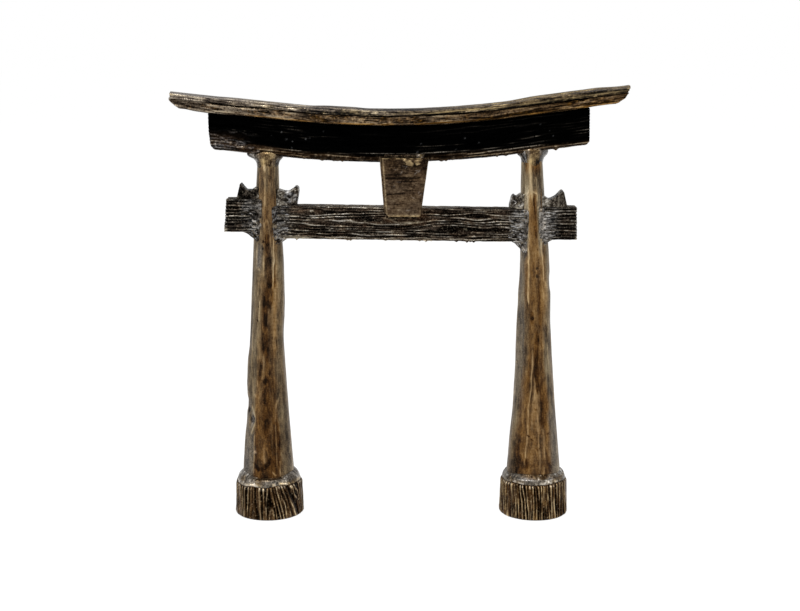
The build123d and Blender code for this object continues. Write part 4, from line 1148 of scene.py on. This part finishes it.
# A short end is a level bar out of the post's side, with growth rings on its tip. It is cut in by
# deeper * carve * (0.7 (1 - ridge) + 0.55 groove), less beside the post.
def makeTieEnd(post):
    side = post["side"]
    look, end = dict(tieLook, **tieEnd), tieEnds[side]
    middle, seed = beamLevel(post, True), end["seed"]
    axis, radius = float(postAxis(post, middle)), float(postRadius(post, middle))
    across, up, around, girth = tieSection(look["columns"])

    def ends(y, n):
        tip = axis + side * (end["reach"] - end["lean"] * n / look["height"])
        root = axis + side * (radius - look["bury"]) + 0 * n
        return (tip, root) if side < 0 else (root, tip)

    rows = barRows(look["body"], 11, 4)
    s, y, n = barSurface(across, up, rows, 0.35, ends)
    out = side * (s - axis)
    endFace = 1 - rise(rows[0][:, None] + 0 * s, 0.86, 0.98)
    wave, line, groove = grain(s, around + 0 * s, s, y, n, closedGrain(look, girth), seed)
    ring = endRings(y, n, (-1.0, 1.5), 1.2, seed + 4)
    wave, line, groove = sawn(wave, line, groove, endFace, (ring, 0.6 * ring ** 4, 0.6 * (1 - ring) ** 2))
    lump = uneven(s, y, n, (2.4, 1.4, 1.2), seed + 1)
    fine = uneven(s, y, n, (1.2, 1.0, 0.6), seed + 2)
    front = rise(-y, 3.0, 3.6)
    outer = rise(out, end["reach"] - 1.0, end["reach"] - 0.2)
    weld = 1 - rise(out - radius, 0.8, 6.0)
    beads = spots(s, n, beadRow(seed + 3, 20, axis + side * 5, axis + side * 15, 0, 3.4, 0.26, 1.0)) * front
    carve = look["carve"] * look["deeper"] * (1 - 0.4 * weld)
    lift = -carve * (0.7 * (1 - wave) + 0.55 * groove) + 0.25 * lump + 0.12 * fine + 0.15 * beads - 0.04
    tone = end["tone"] + 0.5 * line - 0.55 * groove + 0.3 * lump + 0.4 * fine
    tone = tone + 0.25 * outer * wave + 0.3 * beads
    corner = outer * rise(-n, 3.8, 5.2)
    marks = dict(crest=tone, rub=0.6 * corner + 0.3 * outer * line,
                 warm=0.12 + 0.6 * lump + 0.6 * corner - 0.4 * weld,
                 silver=0.7 * weld * rise(fine, -0.1, 0.12) * (0.1 + 0.9 * line) + 0.2 * outer * wave)
    name, points = sideName[side], np.stack([s, y, middle + n], -1)
    makeSkin(f"bronzeTieBeam{name.title()}End", points, lift, marks, (s, y, n), "beam_bronze",
             f"tie_beam_{name}_end")


# Wedges on the tie beam. outline: (way out of the post, height over the beam), in mm, from the post outwards.
# shine and glints, painted highlights on the braze: (way out, height, radius, strength).
# soft: half width of the rounding of the outline; lean: sideways per mm up; root: tone added beside the post
wedgeLook = dict(depth=5.4, floor=-1.5, steepest=4.2, columns=120, body=44)
wedges = {
    "left_outer_wedge": dict(
        post=leftPost, way=-1, seed=171, soft=0.2, tone=0.16, lumps=0.15, silver=0.0, gold=0.0,
        outline=[(-1.5, 4.4), (0, 3.6), (1.4, 2.8), (3.0, 3.0), (5.2, 5.4), (6.2, 0.6)]),
    "left_inner_wedge": dict(
        post=leftPost, way=1, seed=172, soft=0.8, tone=0.36, lumps=0.2, silver=0.9, gold=0.0, lean=0.17,
        shine=[(2.6, 2.2, 1.3, 0.5)],
        glints=[(2.1, 4.2, 0.55, 1.0), (2.9, 4.0, 0.5, 0.9), (4.8, 3.4, 0.45, 0.8), (1.4, 3.0, 0.4, 0.5),
                (5.0, 2.0, 0.4, 0.7), (6.4, 1.0, 0.4, 0.7), (3.4, 1.2, 0.4, 0.5)],
        outline=[(-1.5, 5.4), (0, 4.8), (1.8, 4.4), (3.2, 5.0), (4.3, 6.2), (5.1, 6.9), (5.6, 6.6),
                 (5.9, 4.4)]),
    "right_inner_wedge": dict(
        post=rightPost, way=-1, seed=173, soft=0.25, tone=0.42, lumps=0.5, silver=0.7, gold=0.35, root=0.1,
        shine=[(0.6, 1.5, 1.2, 0.4), (1.9, 2.6, 0.9, 0.6)],
        outline=[(-1.5, 5.2), (0, 5.0), (1.4, 4.1), (2.2, 5.0), (2.9, 4.3), (3.6, 2.6), (3.7, 1.0)]),
    "right_outer_wedge": dict(
        post=rightPost, way=1, seed=174, soft=0.5, tone=0.44, lumps=0.2, silver=0.4, gold=0.0,
        outline=[(-1.5, 4.2), (0, 3.2), (1.4, 2.4), (3.4, 3.3), (6.3, 5.9), (7.4, 0.6)])}


# A wedge runs out of the post's side, from a floor in the beam up to its crown: the outline, averaged over
# soft mm to both sides, and kept under a line that rises by steepest per mm back from the tip
def makeWedge(stoodFor, wedge):
    look, post, way, seed = wedgeLook, wedge["post"], wedge["way"], wedge["seed"]
    outlineOut, outlineUp = np.array(wedge["outline"], float).T
    reach, floor, half, tall = outlineOut[-1], look["floor"], look["depth"] / 2, 5
    beamTop = beamLevel(post, way == post["side"]) + tieLook["height"] / 2
    face = float(postAxis(post, beamTop)) + way * float(postRadius(post, beamTop))
    corners = [(half, tall), (half, 0), (-half, 0), (-half, tall)]
    across, up = roundedLine(corners, look["columns"], 0.3, True)[:2]
    scale, _, share = (part[:, None] for part in barRows(look["body"], 6, 2))
    out = outlineOut[0] + (reach - outlineOut[0]) * share
    spread = np.linspace(-wedge["soft"], wedge["soft"], 7)
    crown = np.mean([np.interp(out + offset, outlineOut, outlineUp) for offset in spread], 0)
    crown = np.minimum(crown, outlineUp[-1] + look["steepest"] * (reach - out + 0.02))
    middle = (floor + crown) / 2
    y = across * scale
    n = middle + (floor + (crown - floor) * up / tall - middle) * scale
    s = face + way * (out + wedge.get("lean", 0) * n)
    lump = uneven(s, y, n, (1.6, 1.6, 1.6), seed)
    fine = uneven(s, y, n, (0.7, 0.7, 0.7), seed + 20)
    swirl = veins(s + n, y, n - 0.5 * s, (2.2, 2.6, 1.1), seed + 40, 3)
    root = 1 - rise(out, 0.2, 2.0)
    inner = 1 - rise(out, reach - 2.0, reach)
    brow = hump(crown - n, 0.25, 0.25) * rise(lump + 0.5 * fine, -0.05, 0.12)  # the upper edge catches light
    shine = spots(out, n, wedge.get("shine", []))
    glints = spots(out + 0.6 * fine, n + 0.6 * lump, wedge.get("glints", []))
    lift = (0.25 + wedge["lumps"]) * lump * inner + 0.15 * fine + 0.12 * swirl * inner
    tone = wedge["tone"] + 0.5 * lump + 0.4 * fine + 0.2 * swirl - 0.04 + 0.3 * brow + 0.4 * glints
    tone = tone + wedge.get("root", 0.2) * root
    tone = tone + shine * (0.5 * rise(swirl, 0.3, 0.6) - 0.15 * (1 - rise(swirl, 0.2, 0.4)))
    marks = dict(crest=tone, warm=0.05 + 0.3 * lump, rub=wedge["gold"] * rise(lump, 0.05, 0.2),
                 silver=wedge["silver"] * shine * rise(swirl + 0.4 * lump, 0.35, 0.55) + 0.9 * glints)
    name = "bronze" + stoodFor.title().replace("_", "")
    makeSkin(name, np.stack([s, y, beamTop + n], -1), lift, marks, (y, s, n), "beam_bronze", stoodFor)


# Welds round the tie beam. run: how far one covers the beam; drop: how far it hangs under it at the post.
# smooth, where the braze filled the grooves and set as one skin, painted brighter, partly as painted
# highlight, and shine,
# painted highlights: (way out of the post's side, height over the beam's axis, radius, strength)
weldLook = dict(
    wrap=0.4, hug=0.88, halfDepth=3.45, halfHeight=5.4, lap=0.5, fall=1.7, carve=0.45, columns=100, body=36,
    pitch=1.32, bend=1.6, bendCell=(6, 4, 4), lineRun=2.5)
beamWelds = {
    "left_outer_weld": dict(
        post=leftPost, way=-1, seed=181, silver=0.75, tone=0.48, run=4.0, drop=6.5,
        smooth=[(1.5, 3.5, 1.6, 0.8), (2.2, 0.5, 1.4, 0.6)], shine=[(2.6, 4.6, 0.5, 0.5)]),
    "left_inner_weld": dict(
        post=leftPost, way=1, seed=182, silver=0.7, tone=0.29, run=3.4, drop=5.0,
        smooth=[(4.4, 4.4, 1.0, 1.1), (1.5, 3.8, 1.2, 0.6)],
        shine=[(3.2, 4.4, 0.6, 0.9), (3.9, 3.4, 0.5, 0.7), (1.8, 4.6, 0.4, 0.5)]),
    "right_inner_weld": dict(
        post=rightPost, way=-1, seed=183, silver=1.0, tone=0.56, run=3.2, drop=6.5,
        smooth=[(0.4, 4.0, 1.4, 0.8), (0.2, 0.0, 1.4, 0.8), (0.3, -3.5, 1.4, 0.7)],
        shine=[(1.4, 0.8, 0.35, 0.8), (1.9, -0.4, 0.3, 0.7), (0.9, -1.4, 0.35, 0.7), (1.6, -2.2, 0.3, 0.8),
               (1.0, -3.2, 0.3, 0.6), (2.4, -2.8, 0.3, 0.5)]),
    "right_outer_weld": dict(
        post=rightPost, way=1, seed=184, silver=0.55, tone=0.62, run=3.0, drop=5.5,
        smooth=[(0.3, 4.4, 1.0, 1.3), (0.8, 1.8, 2.2, 1.0), (1.0, -1.2, 2.2, 1.1), (1.0, -4.0, 2.2, 1.1)],
        shine=[(0.2, 5.0, 1.1, 1.0), (1.2, 4.4, 0.8, 0.8), (0.6, -1.0, 0.5, 0.4), (1.6, -4.2, 0.6, 0.5)])}


# A bead from the post's side out along the beam, ragged at its far end. Its half depth goes from the post's
# to the beam's, and its drop from full to none, by (1 - share) ^ fall. The beam's grain shows through it.
def makeBeamWeld(stoodFor, weld):
    look = dict(tieLook, **weldLook)
    post, way, seed = weld["post"], weld["way"], weld["seed"]
    outside = way == post["side"]
    middle = beamLevel(post, outside)
    axis, radius = float(postAxis(post, middle)), float(postRadius(post, middle))
    corners = [(1, 1), (1, -1), (-1, -1), (-1, 1)]
    across, up, around, whole = roundedLine(corners, look["columns"], 0.25, True)
    scale, _, share = (part[:, None] for part in barRows(look["body"], 6, 2))
    stray = 2.6 * (cloud(across, up, 0 * up, (0.22, 0.22, 1), seed + 90) - 0.5)
    out = radius * look["wrap"] + (radius * (1 - look["wrap"]) + weld["run"] + 0.6 + stray) * share
    fade = (1 - share) ** look["fall"]
    half = look["halfDepth"] + (radius * look["hug"] - look["halfDepth"]) * fade
    low = -look["halfHeight"] - weld["drop"] * fade
    high = look["halfHeight"] + look["lap"] * fade
    y = across * half * scale
    n = (low + high) / 2 + up * (high - low) / 2 * scale
    s = axis + way * out + 0 * n
    girth = 2 * (look["height"] + look["depth"])
    wave, line, groove = grain(s, around * girth / whole, s, y, n, closedGrain(look, girth), seed)
    lump = uneven(s, y, n, (2.4, 2.0, 1.7), seed + 30)
    fine = uneven(s, y, n, (1.0, 0.8, 0.5), seed + 60)
    smooth = np.clip(spots(out - radius, n, weld["smooth"]), 0, 1)
    shine = spots(out - radius + 0.8 * fine, n + 0.8 * lump, weld["shine"])
    carved = rise(share, 0.0, 0.3) * (1 - 0.8 * smooth)
    lift = -look["carve"] * (1 - wave) * carved + (0.4 * lump + 0.2 * fine) * (1 - 0.5 * smooth)
    tone = weld["tone"] - 0.2 * rise(share, 0.55, 0.9) + (0.5 * lump + 0.7 * fine) * (1 - 0.5 * smooth)
    tone = tone + (0.5 * line - 0.5 * groove) * carved + 0.14 * smooth + 0.4 * shine
    glint = rise(0.7 * lump + 1.1 * fine + 0.2 * line, 0.06, 0.16)
    glint = np.maximum(glint * (0.4 + 0.6 * rise(out, radius - 1.5, radius)), 0.6 * smooth)
    marks = dict(crest=tone, silver=weld["silver"] * glint + 0.9 * shine, warm=0.1 + 0.5 * lump,
                 rub=0.25 * rise(lump, 0.18, 0.26))
    slope = 0 if outside else look["slope"]
    points = np.stack([s, y, middle + n + slope * (s - axis)], -1)
    name = "brazed" + stoodFor.title().replace("_", "").replace("Weld", "Bead")
    makeSkin(name, points, lift, marks, (s, y, n), "weld_bronze", stoodFor)


makeTieMiddle()
for post in (leftPost, rightPost):
    makeTieEnd(post)
for stoodFor, wedge in wedges.items():
    makeWedge(stoodFor, wedge)
for stoodFor, weld in beamWelds.items():
    makeBeamWeld(stoodFor, weld)
print("tie beam, wedges and their welds made")


# The name tablet, left bare. Sizes in mm.
tabletLook = dict(
    topWidth=16.9, bottomWidth=12.5, thickness=3.6, lapAbove=1.8, lapBelow=2.9, shift=0.95, skew=0.6,
    bite=0.25, nominalHalf=7.4, sideBevel=1.2, edgeBevel=0.4, columns=160, body=100, nicks=14,
    # dark streaks across the plate: (height share, from, to, half width, strength, slope)
    streaks=[(0.86, -5.5, 5.5, 0.16, 0.5, 0.03), (0.72, -6.0, -1.0, 0.2, 0.7, 0.02),
             (0.66, -6.4, 5.6, 0.34, 1.0, 0.03), (0.60, -2.0, 4.5, 0.2, 0.7, 0.02),
             (0.53, -5.5, -2.5, 0.16, 0.5, 0.05), (0.40, -5.6, 0.6, 0.24, 0.7, 0.07),
             (0.45, 1.0, 4.6, 0.15, 0.4, 0.0), (0.22, -3.6, 1.5, 0.14, 0.35, 0.05)],
    # flat nuggets of spilt braze near the top: (way across, way down from the top, half width, slope)
    nuggets=[(1.8, 1.54, 2.0, 0.3), (4.7, 1.2, 1.7, -0.3)])
tabletX = feetMiddle + tabletLook["shift"]
tabletBottom = float(tieHeightAt(tabletX)) + tieLook["height"] / 2 - tabletLook["lapBelow"]
tabletHeight = float(undersideAt(tabletX)) + tabletLook["lapAbove"] - tabletBottom
tabletBeads = {"upper": dict(way=1, level=tabletHeight, width=tabletLook["topWidth"], drop=1.0, seed=201),
               "lower": dict(way=-1, level=0.0, width=tabletLook["bottomWidth"], drop=0.0, seed=202)}


# The plate stands upright: v runs up it, u across, w out of its face. It leans from the face of the tie
# beam out to that of the second lintel, and its foot sits skew mm to the left.
def tabletPoint(u, w, v):
    deep, shallow = secondLook["depth"], tieLook["depth"]
    lean = (deep - shallow) / 2 / tabletHeight
    backY = -(deep + shallow) / 4 + tabletLook["bite"]
    u = u - tabletLook["skew"] * (1 - v / tabletHeight)
    return np.stack([tabletX + u, backY - w - lean * (v - tabletHeight / 2), tabletBottom + v], -1)


# The plate is a bevelled section drawn up from its bottom to its top width, with streaks cut in and nuggets
# standing proud
def makeTablet():
    look, height = tabletLook, tabletHeight
    nominal, thick, bevelled = look["nominalHalf"], look["thickness"], look["edgeBevel"]
    section = [(nominal, 0), (-nominal, 0), (-nominal, thick - 0.9), (look["sideBevel"] - nominal, thick),
               (nominal - bevelled, thick), (nominal, thick - bevelled)]
    across, up = roundedLine(section, look["columns"], 0.12, True)[:2]
    scale, turn, share = (part[:, None] for part in barRows(look["body"], 6, 4))
    v = 0.25 * (1 - np.cos(turn)) * (1 - 2 * share) + height * share
    halfWidth = (look["bottomWidth"] + (look["topWidth"] - look["bottomWidth"]) * v / height) / 2
    drawIn = 0.25 * (1 - np.sin(turn))
    u = across / nominal * (halfWidth - drawIn) * scale
    w = thick / 2 + (up - thick / 2) * (1 - drawIn / (thick / 2)) * scale
    sidewards = u / halfWidth
    v = v + 1.0 * rise(-sidewards, 0.72, 1.0) * (1 - rise(v, 0, 3.5))  # the lower left corner is clipped
    front = rise(w, thick - 0.5, thick - 0.1)
    upper = rise(v, height * 0.42, height * 0.55)
    lump = uneven(u, w, v, (4.0, 2.0, 2.2), 191)
    mottle = uneven(u, w, v, (1.2, 1.2, 0.9), 192) * (0.7 + 0.5 * upper)
    ragged = 0.9 * uneven(u, w, v, (2.2, 2, 0.9), 193)
    streaks, nuggets, nick = (np.zeros(u.shape) for _ in range(3))
    for atShare, first, last, width, strength, slope in look["streaks"]:
        level = v - atShare * height - slope * u + 0.35 * ragged
        along = rise(u, first - 0.6, first + 0.6) * (1 - rise(u, last - 0.6, last + 0.6))
        streaks += strength * hump(level, 0, width) * along
    for atU, down, half, slope in look["nuggets"]:
        way = np.hypot((u - atU) / half, v - height + down + slope * (u - atU)) + 1.6 * ragged
        nuggets = np.maximum(nuggets, (1 - rise(way, 0.75, 0.95)) * front)
    # plain nicks from handling, in no order
    pick = np.random.default_rng(194)
    for _ in range(look["nicks"]):
        atU, atV, lean = pick.uniform(-5.5, 6), pick.uniform(1.5, height - 2.0), pick.uniform(-0.6, 1.2)
        along = (u - atU) * np.cos(lean) + (v - atV) * np.sin(lean)
        aside = (v - atV) * np.cos(lean) - (u - atU) * np.sin(lean)
        nick += plateau(along, 0, pick.uniform(0.35, 0.9)) * hump(aside, 0, 0.11)
    nick = np.clip(nick, 0, 1) * front
    endEdge = np.maximum(rise(v, height - 0.5, height - 0.1), 1 - rise(v, 0.1, 0.9))
    edge = np.maximum(rise(np.abs(sidewards), 0.955, 0.99), endEdge) * rise(w, 1.5, 3.0)
    bevel = rise(-sidewards, 0.80, 0.88) * front
    bottomRim = (1 - rise(v, 0.5, 1.3)) * front
    lift = 0.10 * lump + 0.06 * mottle - 0.24 * streaks * front + 0.26 * nuggets - 0.06 * nick - 0.02
    tone = 0.50 + 0.45 * lump + 0.40 * mottle - 0.75 * streaks * front + (0.3 + 0.9 * mottle) * nuggets
    tone = tone + 0.34 * bevel + 0.25 * nick + 0.25 * bottomRim
    tone = tone - 0.10 * upper - 0.16 * rise(v, height * 0.6, height * 0.9)
    rub = (0.45 + 1.5 * mottle) * nuggets + 0.55 * edge * rise(mottle, -0.15, 0.1) + 0.25 * bevel
    marks = dict(crest=tone, rub=rub, warm=0.35 + 0.6 * lump + 0.4 * edge + 0.3 * nuggets, silver=0.25 * nick)
    makeSkin("bronzeNameTablet", tabletPoint(u, w, v), lift, marks, (u, w, v), "tablet_bronze", "name_tablet")


# A lumpy bead along the tablet's upper or lower edge, 0.8 of its width, partly in the beam behind. The
# upper one has a thicker drop near its right end, painted lighter and with painted glints.
def makeTabletBead(part, bead):
    way, half = bead["way"], 0.4 * bead["width"]
    across, up = roundedLine([(1, 1), (1, -1), (-1, -1), (-1, 1)], 36, 0.35, True)[:2]
    scale, _, share = (part[:, None] for part in barRows(44, 4, 3))
    u = -half + 2 * half * share
    drop = bead["drop"] * hump(u, 0.78 * half, 0.9)
    thick = 0.70 + 0.25 * cloud(u, 0 * u, 0 * u, (2, 1, 1), bead["seed"]) + 0.35 * drop
    w = 0.45 + across * 1.1 * scale * thick
    v = bead["level"] + way * 0.35 + up * 0.75 * scale * thick
    u = u + 0 * w
    lump = uneven(u, w, v, (1.2, 1.0, 0.8), bead["seed"] + 1)
    marks = dict(crest=0.22 + 0.8 * lump + 0.3 * drop, silver=0.7 * drop * rise(lump, -0.1, 0.1), warm=0.5,
                 rub=0.3 * drop + 0 * lump)
    makeSkin(f"brazedTablet{part.title()}Bead", tabletPoint(u, w, v), 0.4 * lump, marks, (u, w, v),
             "weld_bronze", f"tablet_{part}_weld")


makeTablet()
for part, bead in tabletBeads.items():
    makeTabletBead(part, bead)
print("tablet made, triangles in all:", sum(triangles))

# The studio: how bright the sky looks and how bright it lights, and the floor's size (m), glow and shade
studio = dict(
    skyForCamera=1.0, skyForLight=0.55, floorSize=6.0, floorGlow=0.88, floorShade=0.22, floorMatt=0.8)


# 1 on the rays of the camera, of mirrors and of glass, 0 on all others: the largest of the three
def seenRays(tree):
    paths = addNode(tree, "LightPath").outputs
    seen = paths["Is Camera Ray"]
    for kind in ("Is Glossy Ray", "Is Transmission Ray"):
        seen = addNode(tree, "Math", {"operation": "MAXIMUM"}, {0: seen, 1: paths[kind]}).outputs[0]
    return seen


# Pale matt paper; where it is seen it glows and keeps the shadow
def makeFloor():
    size = studio["floorSize"]
    mesh = bpy.data.meshes.new("paperFloor")
    corners = [(-size, -size, 0), (size, -size, 0), (size, size, 0), (-size, size, 0)]
    mesh.from_pydata(corners, [], [(0, 1, 2, 3)])
    material = bpy.data.materials.new("PaleSeamlessPaper")
    tree = freshTree(material)
    seen = seenRays(tree)
    matt = addNode(tree, "BsdfDiffuse", {"Color": (studio["floorMatt"],) * 3 + (1,)}).outputs[0]
    shadeOnly = addNode(tree, "BsdfDiffuse", {"Color": (studio["floorShade"],) * 3 + (1,)}).outputs[0]
    glow = addNode(tree, "Emission", {"Strength": studio["floorGlow"]}).outputs[0]
    lit = addNode(tree, "AddShader", None, {0: shadeOnly, 1: glow}).outputs[0]
    both = addNode(tree, "MixShader", None, {0: seen, 1: matt, 2: lit}).outputs[0]
    addNode(tree, "OutputMaterial", None, {"Surface": both})
    mesh.materials.append(material)
    floor = bpy.data.objects.new("paperFloor", mesh)
    bpy.context.scene.collection.objects.link(floor)


def makeSky():
    world = bpy.data.worlds.new("whiteStudio")
    bpy.context.scene.world = world
    tree = freshTree(world)
    levels = {"To Min": studio["skyForLight"], "To Max": studio["skyForCamera"]}
    level = addNode(tree, "MapRange", levels, {"Value": seenRays(tree)}).outputs[0]
    sky = addNode(tree, "Background", {"Color": (1, 1, 1, 1)}, {"Strength": level}).outputs[0]
    addNode(tree, "OutputWorld", None, {"Surface": sky})


# Soft boxes: where they stand (m), side length (m) and power (W); all face the middle of the gate
softBoxes = {
    "keySoftBox": dict(place=(-0.22, -0.48, 0.72), size=0.24, power=2.6),
    "overheadSoftBox": dict(place=(0.05, 0.05, 0.75), size=0.40, power=1.3),
    "leftSoftBox": dict(place=(-0.60, -0.25, 0.30), size=0.35, power=0.8),
    "rightSoftBox": dict(place=(0.60, -0.30, 0.40), size=0.35, power=0.9)}


def makeLights():
    middle = (Vector(cadBox[0]) + Vector(cadBox[1])) / 2
    for name, box in softBoxes.items():
        lamp = bpy.data.lights.new(name, "AREA")
        lamp.size, lamp.energy = box["size"], box["power"]
        holder = bpy.data.objects.new(name, lamp)
        holder.location = box["place"]
        holder.rotation_euler = (middle - Vector(box["place"])).to_track_quat("-Z", "Y").to_euler()
        bpy.context.scene.collection.objects.link(holder)


# From straight in front, a little down: place and clipStart in m, downwards in degrees, lens and sensor in mm
cameraLook = dict(distance=0.490, height=0.16859, downwards=10.752, lens=63.57, sensor=36.0, clipStart=0.01)


def makeCamera():
    lens = bpy.data.cameras.new("frontCamera")
    lens.lens, lens.sensor_width = cameraLook["lens"], cameraLook["sensor"]
    lens.clip_start = cameraLook["clipStart"]
    camera = bpy.data.objects.new("frontCamera", lens)
    camera.location = (gateX * millimetre, -cameraLook["distance"], cameraLook["height"])
    camera.rotation_euler = (np.radians(90 - cameraLook["downwards"]), 0, 0)
    bpy.context.scene.collection.objects.link(camera)
    bpy.context.scene.camera = camera


makeFloor()
makeSky()
makeLights()
makeCamera()
bpy.context.scene.view_settings.view_transform = "Standard"
print("studio made")
